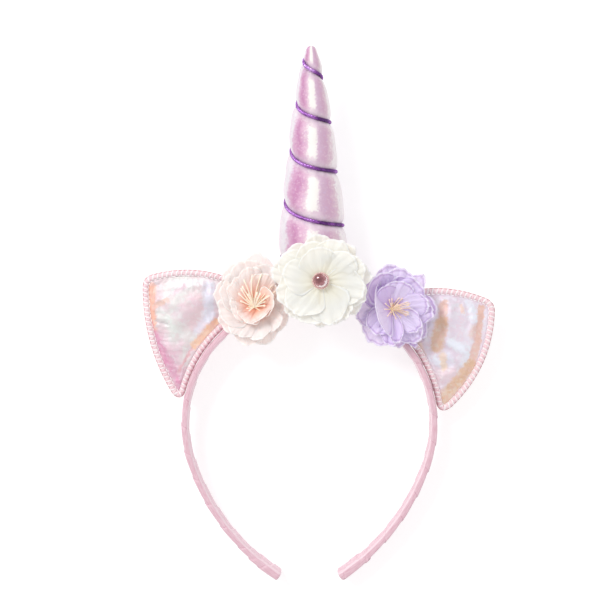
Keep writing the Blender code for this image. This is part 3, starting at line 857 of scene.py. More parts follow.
def blow_up(cushion, edge):
    """Swells a closed cushion as cloth with its seam held, and keeps the result as plain mesh."""
    reshape(cushion, points_of(cushion) * CLOTH_SCALE)
    choose(cushion)
    cushion.data.remesh_voxel_size = CLOTH_VOXEL
    bpy.ops.object.voxel_remesh()
    start = points_of(cushion)
    held = np.flatnonzero(from_edge(start / CLOTH_SCALE, edge) < SEAM_HELD)
    seam = cushion.vertex_groups.new(name="seam")
    seam.add([int(index) for index in held], 1.0, "REPLACE")
    cloth = cushion.modifiers.new("Cloth", "CLOTH")
    cloth.settings.quality = 5
    cloth.settings.mass = 0.3
    cloth.settings.tension_stiffness = cloth.settings.compression_stiffness = 15
    cloth.settings.shear_stiffness = 5
    cloth.settings.bending_stiffness = 0.12
    cloth.settings.use_pressure = True
    cloth.settings.uniform_pressure_force = CLOTH_PRESSURE
    cloth.settings.shrink_min = -CLOTH_GROWTH
    cloth.settings.vertex_group_mass = "seam"
    cloth.settings.effector_weights.gravity = 0
    cloth.collision_settings.use_collision = False
    for number in range(1, CLOTH_FRAMES + 1):
        scene.frame_set(number)
    choose(cushion)
    bpy.ops.object.modifier_apply(modifier="Cloth")
    cushion.vertex_groups.clear()
    move = (points_of(cushion) - start) / CLOTH_SCALE
    far = np.linalg.norm(move, axis=1)
    move = move * np.minimum(1, CLOTH_REACH / np.maximum(far, 1e-9))[:, None]
    places = start / CLOTH_SCALE + move
    places[:, 2] = places[:, 2] * (EAR_THICKNESS / 2 + 0.5 * MM) / np.abs(places[:, 2]).max()
    reshape(cushion, places)
    use_modifier(cushion, "SUBSURF", levels=1, render_levels=1)
    print(cushion.name, "swelled by up to", round(far.max() / MM, 1), "mm")


# %% [markdown]
# Over the wrinkles of the seam lie the broad folds that the front of each ear shows. They are straight soft
# ridges and valleys, given by their two ends in millimetres on the table, a width and a height.

# %% The ear cushions
def ridge(places, start, end, width, height):
    """A soft fold along a straight line that fades at both its ends."""
    start = (np.array(start) * MM) - np.array(HOOP_CENTRE.xy)
    chord = (np.array(end) * MM) - np.array(HOOP_CENTRE.xy) - start
    share = ((places[:, :2] - start) @ chord) / (chord @ chord)
    nearest = start + np.clip(share, 0, 1)[:, None] * chord
    away = np.linalg.norm(places[:, :2] - nearest, axis=1)
    fade = smooth_step(share, -0.15, 0.25) * (1 - smooth_step(share, 0.75, 1.15))
    return height * MM * np.exp(-((away / (width * MM)) ** 2)) * fade


def ear_cushion(side, folds, seed):
    line = EAR_LINES[side][0]
    cushion, u, v = grid(f"ear_{side}_cushion", CUSHION_AROUND, CUSHION_OUT)
    edge = inward(line, SEAM_INSET)
    middle = edge.mean(axis=0)
    spot = u * OUTLINE_POINTS
    low = np.floor(spot).astype(int) % OUTLINE_POINTS
    part = (spot - np.floor(spot))[:, None]
    rim = edge[low] * (1 - part) + edge[(low + 1) % OUTLINE_POINTS] * part
    front = v <= 0.5
    out = np.clip(np.where(front, 2 * v, 2 * (1 - v)), 0, 1) ** 0.8
    flat = middle + (rim - middle) * out[:, None]
    height = EAR_THICKNESS / 2 * np.clip(1 - out**EAR_FULLNESS, 0, 1) ** 0.5
    reshape(cushion, flat + np.outer(np.where(front, height, -height), [0, 0, 1.0]))
    close_up(cushion)
    blow_up(cushion, edge)
    places = points_of(cushion)
    inside = from_edge(places, edge)
    fade = smooth_step(inside, 0.3 * MM, 4.5 * MM)
    slack = (wander(places, 95, seed) * 0.40 + wander(places, 230, seed + 5) * 0.22) * MM
    relief = sum(ridge(places, *fold) for fold in folds) + slack
    places[:, 2] += np.where(places[:, 2] > 0, relief, 0.4 * slack) * fade
    reshape(cushion, places)
    return cushion


LEFT_FOLDS = (
    ((-81.2, 14), (-80.6, -9), 2.2, 0.8), ((-77, -12), (-66, -32), 2.6, 0.7),
    ((-50, 0.5), (-62, -12), 2.4, 0.7), ((-79, 9), (-60, -1), 2.8, 0.6),
    ((-73, -5), (-58, 10), 3.2, 0.5), ((-72, -15), (-65, -3), 2.8, -0.6),
    ((-77, 14.5), (-54, 15.5), 2.0, 0.6), ((-82, -2.5), (-75, -4.5), 1.0, -0.5),
)
RIGHT_FOLDS = (
    ((77.6, 3), (75.4, -14), 2.2, 0.8), ((75, -16), (62, -37), 2.4, 0.7),
    ((66.0, 7), (64.0, -15), 2.2, 1.0), ((61.0, 6), (59.0, -15), 2.2, -0.4),
    ((60.5, 8.6), (69.5, 4.4), 1.6, 0.8), ((63, -13), (75, -18.4), 2.0, 0.8),
    ((56, -21), (62.5, -25), 2.0, 0.7), ((59, -31), (68, -28), 2.4, 0.5),
    ((73, 8), (77, 2), 2.0, 0.5),
)
ear_left = ear_cushion("left", LEFT_FOLDS, 2.7)
ear_right = ear_cushion("right", RIGHT_FOLDS, 8.1)

# %% [markdown]
# ## Iridescent cloth
#
# This cloth is iridescent. Its colours are painted reflection: they shift from pale rose through white to blue,
# with orange and magenta where it turns down at the braid, and the whitest and ice-blue marks are painted
# highlights on folds that face the window, while one grey line is painted shade in a crease. Those colours sit
# in known places on each ear, so they are painted as soft strokes: a stroke is a line segment with a width, and
# its mask is worked out by the nodes from the distance to it. The colours between the strokes come from slow
# noise, and the crinkle and the grid of threads from bump.

# %% Ear cloth
def stroke(look, xy, start, end, width, soft):
    """A mask that is 1 along a line on the table, given in millimetres, and fades at its edges."""
    start, end = Vector((*start, 0)) * MM, Vector((*end, 0)) * MM
    chord = end - start
    from_start = look.node("VectorMath", {"operation": "SUBTRACT"}, xy, tuple(start))
    reach = look.node("VectorMath", {"operation": "DOT_PRODUCT"}, from_start, tuple(chord), out="Value")
    share = look.node("Clamp", {}, reach / chord.length_squared, 0.0, 1.0)
    along = look.node("VectorMath", {"operation": "SCALE"}, tuple(chord), Scale=share)
    away = look.node("VectorMath", {"operation": "DISTANCE"}, from_start, along, out="Value")
    return look.stretch(away / (width * MM), soft, 1.0, 1.0, 0.0)


def ear_lame(name, strokes, cool, warm):
    look = Look(name, Metallic=0.22, Coat_Weight=0.25, Coat_Roughness=0.3, Sheen_Weight=0.2)
    place = look.place()
    wide = look.noise(46.0, 2.0)
    small = look.noise(260.0, 3.0)
    wobble = look.node("TexNoise", {}, out="Color", Vector=place, Scale=420.0, Detail=4.0, Roughness=0.7)
    shifted = look.node("VectorMath", {"operation": "SUBTRACT"}, wobble, (0.5, 0.5, 0.5))
    shifted = look.node("VectorMath", {"operation": "SCALE"}, shifted, Scale=0.0042)
    moved = look.node("VectorMath", {"operation": "ADD"}, place, shifted)
    xy = look.node("VectorMath", {"operation": "MULTIPLY"}, moved, (1.0, 1.0, 0.0))
    colour = look.blend(look.stretch(wide, 0.38, 0.62), cool, warm)
    colour = look.blend(look.stretch(small, 0.50, 0.75) * 0.30, colour, (0.88, 0.86, 0.90))
    for start, end, width, tint, strength, soft in strokes:
        colour = look.blend(stroke(look, xy, start, end, width, soft) * strength, colour, tint)
    patches = look.node("TexVoronoi", {}, out="Color", Vector=moved, Scale=620.0)
    patch = look.node("SeparateColor", {}, patches)
    colour = look.blend(look.stretch(patch, 0.55, 0.95) * 0.26, colour, (0.86, 0.62, 0.68))
    colour = look.blend(look.stretch(patch, 0.05, 0.40, 1.0, 0.0) * 0.24, colour, (0.84, 0.90, 0.90))
    fleck = look.stretch(look.noise(2800.0, 1.0), 0.58, 0.76)
    colour = look.blend(fleck * 0.18, colour, (0.95, 0.92, 0.95))
    look.set(Base_Color=colour, Roughness=0.32 + small * 0.25)
    warp = look.node("Math", {"operation": "SINE"}, look.node("SeparateXYZ", {}, place, out="X") * 14000)
    weft = look.node("Math", {"operation": "SINE"}, look.node("SeparateXYZ", {}, place, out="Y") * 14000)
    creases = look.noise(240.0, 4.0, roughness=0.6)
    look.bump(creases * 2.4 + warp * weft * 0.16 + small * 0.6, 0.00022, 0.75)
    return look.material


ORANGE = (0.90, 0.50, 0.38)
APRICOT = (0.85, 0.58, 0.49)
BRIGHT_ORANGE = (0.95, 0.60, 0.40)
CORAL = (0.80, 0.38, 0.42)
MAGENTA = (0.72, 0.30, 0.47)
PINK_GLOW = (0.78, 0.48, 0.60)
ROSE_MIST = (0.80, 0.60, 0.68)
SKY_WHITE = (0.80, 0.82, 0.95)
HIGHLIGHT_WHITE = (0.92, 0.90, 0.93)
GREEN_GREY = (0.77, 0.79, 0.76)
SHADOW_GREY = (0.60, 0.56, 0.58)
BEIGE_PINK = (0.77, 0.60, 0.64)
PINK_TAN = (0.82, 0.53, 0.44)
TAN = (0.76, 0.50, 0.34)
CREAM_ORANGE = (0.86, 0.68, 0.55)
ICE_HIGHLIGHT = (0.84, 0.87, 0.96)
ICE_LILAC = (0.84, 0.77, 0.87)
LILAC_MIST = (0.77, 0.67, 0.77)

# Each row is one stroke: its two ends in millimetres on the table, width, colour, strength and softness. The
# whitest rows are painted highlights, the shadow grey row is painted shade, and the others are painted
# reflection of the iridescent cloth.
LEFT_STROKES = (
    ((-73, 15.6), (-56, 16.8), 2.6, HIGHLIGHT_WHITE, 0.85, 0.3),
    ((-77, 9.5), (-70, 14.0), 2.0, HIGHLIGHT_WHITE, 0.5, 0.2),
    ((-54.5, 14.0), (-54.5, -1.2), 4.6, SKY_WHITE, 0.85, 0.3),
    ((-79.0, 0.6), (-76, -1.4), 4.4, GREEN_GREY, 0.8, 0.2),
    ((-67.7, -22.5), (-65.5, -17.5), 3.6, GREEN_GREY, 0.8, 0.2),
    ((-60.5, -8.0), (-56.5, -3.0), 3.4, SKY_WHITE, 0.6, 0.1),
    ((-71.4, 11.2), (-66.8, 13.8), 2.2, ROSE_MIST, 0.8, 0.2),
    ((-63.4, 8.6), (-60.5, 5.6), 2.8, ROSE_MIST, 0.7, 0.1),
    ((-68.0, -2.0), (-63.5, 3.0), 3.0, ROSE_MIST, 0.45, 0.1),
    ((-72.0, 0.0), (-67.5, 4.5), 3.0, ROSE_MIST, 0.6, 0.1),
    ((-71.0, -20.0), (-69.0, -14.0), 2.8, ROSE_MIST, 0.7, 0.1),
    ((-80.5, 5.2), (-75.5, 7.4), 1.9, APRICOT, 0.85, 0.3),
    ((-83.6, 13.8), (-83.0, -8.0), 3.2, ORANGE, 0.95, 0.4),
    ((-83.8, -4.5), (-82.2, -11.5), 2.2, CORAL, 0.85, 0.3),
    ((-79.5, -12.4), (-66.5, -34), 8.0, PINK_GLOW, 0.80, 0.0),
    ((-81.8, -10.6), (-69.4, -36.0), 3.6, MAGENTA, 0.90, 0.15),
    ((-56.5, -10.0), (-64.5, -19.0), 4.5, ROSE_MIST, 0.55, 0.0),
    ((-51.2, -3.4), (-62.2, -15.0), 2.7, BRIGHT_ORANGE, 0.95, 0.4),
    ((-63.4, -17.0), (-70.4, -28.6), 1.2, CORAL, 0.60, 0.2),
    ((-81.5, -2.4), (-76, -4.2), 0.9, SHADOW_GREY, 0.55, 0.2),
)
# The ice-blue rows are painted highlights, and the others are painted reflection of the iridescent cloth.
RIGHT_STROKES = (
    ((60.0, -31.0), (66.0, -29.0), 8.0, BEIGE_PINK, 0.75, 0.0),
    ((66.0, -13.8), (74.2, -17.8), 3.5, ICE_HIGHLIGHT, 0.90, 0.3),
    ((57.2, -22.0), (61.4, -25.0), 2.9, ICE_HIGHLIGHT, 0.90, 0.3),
    ((75.0, 7.0), (77.6, -2.0), 3.4, ICE_HIGHLIGHT, 0.85, 0.3),
    ((74.4, -20.0), (72.5, -23.5), 3.0, ICE_HIGHLIGHT, 0.80, 0.3),
    ((64.6, -20.5), (66.5, -25.0), 2.6, SKY_WHITE, 0.6, 0.1),
    ((51.8, -20.0), (50.6, -15.0), 2.4, CREAM_ORANGE, 0.80, 0.2),
    ((55.0, -34.0), (60.5, -40.0), 2.6, CREAM_ORANGE, 0.55, 0.1),
    ((81.3, 4.0), (79.4, -12.6), 2.1, PINK_TAN, 0.95, 0.5),
    ((77.6, -7.0), (77.0, -10.0), 3.4, PINK_TAN, 0.7, 0.2),
    ((79.2, -12.6), (75.9, -25.6), 2.9, PINK_TAN, 0.90, 0.5),
    ((75.9, -25.2), (69.3, -33.6), 4.0, TAN, 0.95, 0.5),
    ((69.3, -33.6), (62.6, -42.2), 4.4, TAN, 0.95, 0.5),
    ((62.4, 6.6), (61.2, -4.0), 2.9, PINK_TAN, 0.90, 0.45),
    ((61.0, -4.0), (58.8, -15.4), 4.4, TAN, 0.90, 0.5),
    ((61.8, -20.2), (62.6, -26.2), 2.5, CREAM_ORANGE, 0.9, 0.3),
    ((60.8, 8.4), (65.1, 9.6), 2.1, ICE_LILAC, 0.9, 0.4),
    ((65.1, 9.6), (69.2, 3.4), 2.1, ICE_LILAC, 0.9, 0.4),
    ((70.9, 4.4), (71.8, 1.8), 1.4, APRICOT, 0.85, 0.3),
)
finish(ear_left, "ear_lame", ear_lame("ear_lame_left", LEFT_STROKES, GREEN_GREY, BEIGE_PINK), "ear_left")
finish(ear_right, "ear_lame", ear_lame("ear_lame_right", RIGHT_STROKES, ICE_LILAC, LILAC_MIST), "ear_right")

# %% [markdown]
# ## Tubes
#
# Braid, stitches and stamens are all thin round things along a line. `tube` rolls a grid round a line, with
# its own radius at every point. It carries a small frame along the line, turned as little as possible at
# each step, so the tube never twists. Where a way across is given, as for the piping and the edge cord, the
# frame lies in the plane of the ear instead, which meets itself again.

# %% A tube along a line
def tube(name, line, radii, sides, closed=False, across=None):
    """A closed skin round a line of points; an open one ends in two rounded tips."""
    line = np.asarray(line, dtype=float)
    radii = np.broadcast_to(np.asarray(radii, dtype=float), len(line)).copy()
    if closed:
        line = np.vstack([line, line[:1]])
        radii = np.append(radii, radii[0])
        onward = np.roll(line[:-1], -1, axis=0) - np.roll(line[:-1], 1, axis=0)
        onward = np.vstack([onward, onward[:1]])
    else:
        onward = np.gradient(line, axis=0)
    onward = onward / np.linalg.norm(onward, axis=1)[:, None]
    side = np.zeros_like(line)
    if across is not None:
        side = np.cross(onward, across)
    else:
        side[0] = np.cross(onward[0], [0.3, 0.2, 0.93])
        for index in range(1, len(line)):
            side[index] = side[index - 1] - onward[index] * (side[index - 1] @ onward[index])
            side[index] /= np.linalg.norm(side[index])
    side = side / np.linalg.norm(side, axis=1)[:, None]
    up = np.cross(side, onward)
    if not closed:
        ends = np.stack([line[0] - onward[0] * radii[0] * 0.5, line[-1] + onward[-1] * radii[-1] * 0.5])
        line = np.vstack([ends[:1], line, ends[1:]])
        radii = np.concatenate([[radii[0] * 0.02], radii, [radii[-1] * 0.02]])
        side, up = (np.vstack([way[:1], way, way[-1:]]) for way in (side, up))
    piece, u, v = grid(name, sides, len(line) - 1)
    angle = 2 * math.pi * u
    row = np.round(v * (len(line) - 1)).astype(int)
    ring = np.cos(angle)[:, None] * side[row] + np.sin(angle)[:, None] * up[row]
    reshape(piece, line[row] + radii[row][:, None] * ring)
    close_up(piece, 1e-7)
    return piece


# %% [markdown]
# ## The braid round the ears
#
# The edge of each ear is a soft pink piping, whipped over with a white and a pink thread that slant against
# each other, and on its outer side runs a thin rose cord. The piping and the cord are plain tubes. Each
# whip stitch is a tube along a helix round the piping, one left handed and one right handed, with a whole
# number of turns so that it meets itself.

# %% The braids
PIPING_DIAMETER = 2.5 * MM
STITCH_PITCH = 2.4 * MM
STITCH_DIAMETER = 0.90 * MM
STITCH_STEPS = 16
STITCH_SIDES = 7
EDGE_CORD_DIAMETER = 0.6 * MM
EDGE_CORD_SIDES = 8
PIPING_POINTS = 260
PIPING_SIDES = 20


def ear_braid(side):
    line, length = EAR_LINES[side]
    up = np.array([0, 0, 1.0])
    core = even_steps(line, PIPING_POINTS)[0]
    piping = tube(f"ear_{side}_piping", core, PIPING_DIAMETER / 2, PIPING_SIDES, closed=True, across=up)
    stitches = round(length / STITCH_PITCH)
    fine = even_steps(line, stitches * STITCH_STEPS)[0]
    onward = np.roll(fine, -1, axis=0) - np.roll(fine, 1, axis=0)
    beside = np.cross(onward / np.linalg.norm(onward, axis=1)[:, None], up)
    angle = 2 * math.pi * np.arange(len(fine)) / STITCH_STEPS
    squeeze = PIPING_DIAMETER / 2 - STITCH_DIAMETER * 0.12
    threads = []
    for name, hand in (("white", 1), ("pink", -1)):
        helix = fine + squeeze * (np.cos(angle)[:, None] * beside + hand * np.sin(angle)[:, None] * up)
        thread = tube(f"ear_{side}_{name}_stitches", helix, STITCH_DIAMETER / 2, STITCH_SIDES, closed=True)
        threads.append(thread)
    outer = inward(core, -(PIPING_DIAMETER / 2 + EDGE_CORD_DIAMETER * 0.2))
    cord = tube(f"ear_{side}_edge_cord", outer, EDGE_CORD_DIAMETER / 2, EDGE_CORD_SIDES, closed=True, across=up)
    return piping, *threads, cord


def thread_look(name, colour, dark, light, roughness):
    look = Look(name, Sheen_Weight=0.4, Sheen_Roughness=0.4, Specular_IOR_Level=0.4)
    fibre = look.noise(900.0, 3.0)
    patch = look.noise(90.0, 1.0)
    tone = look.blend(look.stretch(fibre * 0.6 + patch * 0.4, 0.35, 0.65), dark, light)
    look.set(Base_Color=look.blend(0.5, tone, colour), Roughness=roughness + fibre * 0.15)
    settings = {"bands_direction": "DIAGONAL"}
    strands = look.node("TexWave", settings, Vector=look.place(), Scale=900.0, Distortion=3.0)
    look.bump(strands * 0.5 + fibre, 0.00010, 0.7)
    return look.material


piping_look = thread_look("piping_pink", (0.91, 0.66, 0.70), (0.84, 0.54, 0.60), (0.94, 0.76, 0.79), 0.55)
pink_look = thread_look("stitch_pink", (0.92, 0.68, 0.72), (0.85, 0.56, 0.62), (0.95, 0.80, 0.82), 0.5)
white_look = thread_look("stitch_white", (0.96, 0.90, 0.91), (0.90, 0.78, 0.81), (0.99, 0.97, 0.97), 0.45)
rose_look = thread_look("edge_cord_rose", (0.72, 0.42, 0.44), (0.55, 0.28, 0.31), (0.82, 0.55, 0.57), 0.5)
for side in EAR_LINES:
    piping, white_thread, pink_thread, cord = ear_braid(side)
    finish(piping, "braid", piping_look, f"ear_{side}_trim")
    finish(white_thread, "braid", white_look)
    finish(pink_thread, "braid", pink_look)
    finish(cord, "braid", rose_look)

# %% [markdown]
# ## Where a flower sits
#
# Each flower has its own small frame: the hub stands on the front of the band, or on the horn where that is
# in the way, and leans a little. The petals are drawn in that frame and then kept clear of the horn and the
# band.

# %% The flowers' places
CLOTH_STEP = 1.6 * MM
FRONT = BAND_WIDTH / 2 + RIBBON_SKIN
HORN_SKIN = 0.9 * MM
LAYER_STEP = 1.3 * MM


class Flower:
    """Where a flower sits and how large it is; angles in degrees, sizes in millimetres."""

    def __init__(self, name, around, beyond, radius_x, radius_y, lean_x, lean_y, press):
        self.name = name
        self.radius_x, self.radius_y = radius_x * MM, radius_y * MM
        self.press = press * MM
        seat = on_hoop(HOOP_RADIUS + beyond * MM, np.array([abs(around)]), math.copysign(1, around))
        seat[0, 2] = front_of_frame(seat)[0] + LAYER_STEP
        lean = Matrix.Rotation(math.radians(lean_y), 4, "Y") @ Matrix.Rotation(math.radians(lean_x), 4, "X")
        self.matrix = Matrix.Translation(seat[0]) @ lean

    def lift(self, order):
        return order * CLOTH_STEP if order else -self.press

    def placed(self, places, order):
        """Puts points of a layer in the plane of the hoop, clear of the horn and the band."""
        turn = np.array(self.matrix.to_3x3())
        moved = (places + [0, 0, self.lift(order)]) @ turn.T + np.array(self.matrix.translation)
        margin = (order + 1) * LAYER_STEP
        moved[:, 2] = np.maximum(moved[:, 2], FRONT + margin)
        down, radial, beside = from_horn_axis(moved)
        least = horn_radius(np.clip(down, 0, HORN_HEIGHT)) + HORN_SKIN + margin
        near = (down > 0) & (down < HORN_HEIGHT + margin) & (beside < least)
        push = np.where(near, (least - beside) / np.maximum(beside, 1e-6), 0.0)
        return moved + radial * push[:, None]


def from_horn_axis(places):
    reach = places - HORN_TIP
    down = -(reach @ HORN_AXIS)
    radial = reach + down[:, None] * HORN_AXIS
    return down, radial, np.linalg.norm(radial, axis=1)


def front_of_frame(places):
    down, radial, beside = from_horn_axis(places * [1, 1, 0])
    radius = horn_radius(np.clip(down, 0, HORN_HEIGHT)) + 0.6 * MM
    return np.maximum(FRONT, np.sqrt(np.clip(radius**2 - beside**2, 0, None)))


LEFT = Flower("left", -23.8, 4.4, 20.5, 23.2, -6, -3, 1.0)
MIDDLE = Flower("middle", 4.3, 9.2, 23.8, 23.0, 4, 0, 0.6)
RIGHT = Flower("right", 35.2, 8.9, 20.6, 20.8, 0, 3, 1.0)
for flower in (LEFT, MIDDLE, RIGHT):
    print(flower.name, "flower seat", [round(value / MM, 1) for value in flower.matrix.translation])

# %% [markdown]
# ## One rule for all petals
#
# A cloth petal starts as a flat piece with a rounded end, cut with a hot wire and pressed over a mould.
# Here it is a small grid, and its rule says how long and wide it is, how it cups, folds and curls, and how
# its edge ruffles. Every petal of the real flowers has its own place and size, so they are listed one by
# one. The petals of a layer lean over each other like the slats of a fan.

# %% One petal
PETAL_ACROSS, PETAL_ALONG = 36, 32
PETAL_CLOTH = 0.22 * MM
PETAL_FOOT = 0.04
PLEAT_HEIGHT = 0.006


def chance(*seeds):
    """A steady number from -1 to 1 for a set of seeds."""
    return noise.cell(Vector([7.31 * seed + 0.37 for seed in (*seeds, 0, 0)[:3]])) * 2 - 1


def petal(flower, order, number, way, reach, width, rise, tone, fold=0.0, curl=0.0, lean=0.05, *,
          ruffle, frill, end=0.40, hub=(0, 0)):
    """One petal. way is in degrees; reach, width and all heights are shares of the flower's half size."""
    piece, u, v = grid(f"petal_{number}", PETAL_ACROSS, PETAL_ALONG)
    seed = (order + 1) * 20 + number + flower.radius_x * 1000
    side = 2 * u - 1
    wavy = wander(np.stack([side * frill, v * 1.1, np.full_like(u, seed * 3.7)], axis=1), 1.0, order)
    fine = wander(np.stack([side * frill * 2.9, v * 1.8, np.full_like(u, seed * 1.9)], axis=1), 1.0, order + 9)
    along = reach * (PETAL_FOOT + (1 - PETAL_FOOT) * v * (1 - end * np.abs(side) ** 2.4))
    along = along * (1 + (0.050 * wavy + 0.018 * fine) * v**2)
    half = width * (0.16 + 0.84 * smooth_step(v, -0.15, 0.72)) * (1 + 0.06 * wavy * v)
    out = along / reach
    height = rise * out**2 + lean * side * np.sin(math.pi / 2 * np.clip(out, 0, 1))
    height = height + fold * (np.abs(side) - 0.45) * out
    rim = np.maximum(v, np.abs(side) ** 2)
    height = height + ruffle * rim**2.5 * v**0.7 * (wavy + 0.5 * fine)
    height = height + PLEAT_HEIGHT * np.sin(side * math.pi * 5 + seed) * np.clip(v * 3, 0, 1) * (1 - v**3)
    rolled = smooth_step(v, 0.66, 1.0)
    height = height + curl * rolled
    along = along - 0.35 * abs(curl) * rolled**2
    angle = math.radians(way)
    across = half * side
    x = along * math.cos(angle) - across * math.sin(angle)
    y = along * math.sin(angle) + across * math.cos(angle)
    centred = np.clip(1 - np.hypot(x, y), 0, 1)
    scale = (flower.radius_x + flower.radius_y) / 2
    x = flower.radius_x * x + hub[0] * MM * centred
    y = flower.radius_y * y + hub[1] * MM * centred
    reshape(piece, flower.placed(np.stack([x, y, scale * height], axis=1), order))
    mark(piece, "tone", np.full(len(u), tone))
    return piece


def petal_layer(flower, layer, order, petals, **shared):
    pieces = [petal(flower, order, number, *row, **shared) for number, row in enumerate(petals)]
    made = join(f"flower_{flower.name}_{layer}_petals", pieces)
    use_modifier(made, "SOLIDIFY", thickness=PETAL_CLOTH, offset=-1.0, use_even_offset=False)
    return made


# %% [markdown]
# The cloth of a petal is thin and lets light through; its paler rim is painted light, and the petal takes its
# deeper dye at the foot. The material reads the petal's own UV map: V runs from the foot to the rim and U
# across.
# Just inside the pale rim runs a darker line. A faint glow from emission is painted light that lifts the shade
# between the layers of petals.

# %% Petal cloth
# Strength of the painted glow on the petals.
PETAL_GLOW = 0.05


def petal_cloth(name, heart, body, rim, pale, line, heart_end, line_strength, vein_strength):
    look = Look(name, Roughness=0.75, Sheen_Weight=0.25, Sheen_Roughness=0.5, Specular_IOR_Level=0.2,
                Subsurface_Weight=0.35, Subsurface_Radius=(0.003, 0.0024, 0.002), Subsurface_Scale=1.0)
    across, out = look.uv("X"), look.uv("Y")
    patch = look.noise(150.0, 3.0)
    tone = look.marked("tone")
    veins = look.node("CombineXYZ", {}, across * 24, out * 1.4, tone * 9)
    vein = look.noise(1.0, 3.0, veins)
    soft = out + (patch - 0.5) * 0.22 + (vein - 0.5) * 0.15
    body = look.blend(look.stretch(tone + (patch - 0.5) * 0.3, 0.0, 1.0), body, pale)
    colour = look.blend(look.stretch(soft, heart_end * 0.15, heart_end), heart, body)
    colour = look.blend(look.stretch(vein, 0.50, 0.74) * vein_strength, colour, heart)
    side = look.node("Math", {"operation": "ABSOLUTE"}, across * 2 - 1)
    edge = look.node("Math", {"operation": "MAXIMUM"}, out, side * 0.6 + 0.4)
    edge = edge + (patch - 0.5) * 0.03
    inner = look.stretch(edge, 0.87, 0.925) * look.stretch(edge, 0.935, 0.965, 1.0, 0.0)
    colour = look.blend(inner * line_strength, colour, line)
    colour = look.blend(look.stretch(edge, 0.94, 0.975) * 0.8, colour, rim)
    # The emission is a painted glow that lifts the shade between the petals.
    look.set(Base_Color=colour, Emission_Color=colour, Emission_Strength=PETAL_GLOW)
    weave = look.node("TexVoronoi", {}, Vector=look.place(), Scale=2600.0)
    look.bump(vein * 1.6 + patch * 1.0 + weave * 0.08, 0.00025, 0.5)
    return look.material


PEACH_HEART, PEACH_BODY, PEACH_PALE = (0.93, 0.41, 0.28), (0.93, 0.78, 0.74), (0.94, 0.84, 0.81)
PEACH_FOOT, PEACH_LINE = (0.95, 0.60, 0.48), (0.88, 0.72, 0.67)
APRICOT_BODY, APRICOT_LINE = (0.96, 0.71, 0.61), (0.92, 0.62, 0.50)
CREAM_RIM = (0.97, 0.92, 0.88)
IVORY_HEART, IVORY_BODY, IVORY_PALE = (0.96, 0.91, 0.74), (0.91, 0.885, 0.79), (0.93, 0.905, 0.84)
IVORY_RIM, IVORY_LINE = (0.96, 0.955, 0.92), (0.84, 0.80, 0.70)
LILAC_HEART, LILAC_BODY, LILAC_PALE = (0.61, 0.40, 0.77), (0.73, 0.56, 0.87), (0.80, 0.68, 0.92)
LILAC_LINE, LILAC_RIM = (0.36, 0.20, 0.52), (0.84, 0.76, 0.93)
peach = petal_cloth(
    "peach_petals", PEACH_FOOT, PEACH_BODY, CREAM_RIM, PEACH_PALE, PEACH_LINE, 0.72, 0.25, 0.2)
peach_heart = petal_cloth(
    "peach_hearts", PEACH_HEART, APRICOT_BODY, CREAM_RIM, PEACH_PALE, APRICOT_LINE, 0.95, 0.2, 0.30)
ivory = petal_cloth(
    "ivory_petals", IVORY_HEART, IVORY_BODY, IVORY_RIM, IVORY_PALE, IVORY_LINE, 0.75, 0.25, 0.15)
lilac = petal_cloth(
    "lilac_petals", LILAC_HEART, LILAC_BODY, LILAC_RIM, LILAC_PALE, LILAC_LINE, 0.45, 0.5, 0.3)
print("four petal cloths")

# %% [markdown]
# Each row below is one petal: where it points in degrees, how far it reaches, its half width, how high its
# rim rises, and how pale it is. Some rows go on with a fold along the middle, a curl of the rim and a lean.

# %% The peach flower
LEFT_HUB = (0.7, -3.3)
LEFT_BACK = (
    (20, 0.95, 0.42, 0.10, 0.5), (84, 1.02, 0.50, 0.10, 0.8), (133, 0.97, 0.46, 0.10, 0.7),
    (168, 0.98, 0.42, 0.08, 0.5), (212, 0.95, 0.46, 0.08, 0.4), (256, 0.97, 0.46, 0.06, 0.6),
    (292, 0.99, 0.42, 0.06, 0.5), (330, 0.93, 0.42, 0.08, 0.4),
)
LEFT_INNER = (
    (58, 0.86, 0.44, 0.18, 0.9), (104, 0.90, 0.48, 0.18, 1.0), (150, 0.85, 0.44, 0.19, 0.8),
    (196, 0.86, 0.42, 0.18, 0.6), (238, 0.84, 0.44, 0.16, 0.7), (276, 0.82, 0.44, 0.16, 0.9),
    (318, 0.82, 0.40, 0.20, 0.6), (0, 0.80, 0.36, 0.22, 0.6),
)
LEFT_CUP = (
    (96, 0.74, 0.40, 0.14, 1.0), (52, 0.70, 0.36, 0.18, 0.7), (140, 0.68, 0.40, 0.12, 1.0),
    (184, 0.56, 0.36, 0.12, 0.9), (228, 0.44, 0.36, 0.14, 0.8, 0.0, 0.04),
    (10, 0.56, 0.32, 0.34, 0.3, 0.0, 0.10), (300, 0.42, 0.46, 0.40, 0.6, 0.0, -0.14, 0.10),
)
LEFT_LAYERS = (("back", LEFT_BACK, peach), ("inner", LEFT_INNER, peach), ("cup", LEFT_CUP, peach_heart))
for order, (layer, rows, cloth) in enumerate(LEFT_LAYERS):
    petals = petal_layer(LEFT, layer, order, rows, hub=LEFT_HUB, ruffle=0.07, frill=3.2)
    finish(petals, "peach_cloth", cloth, f"flower_left_{layer}")

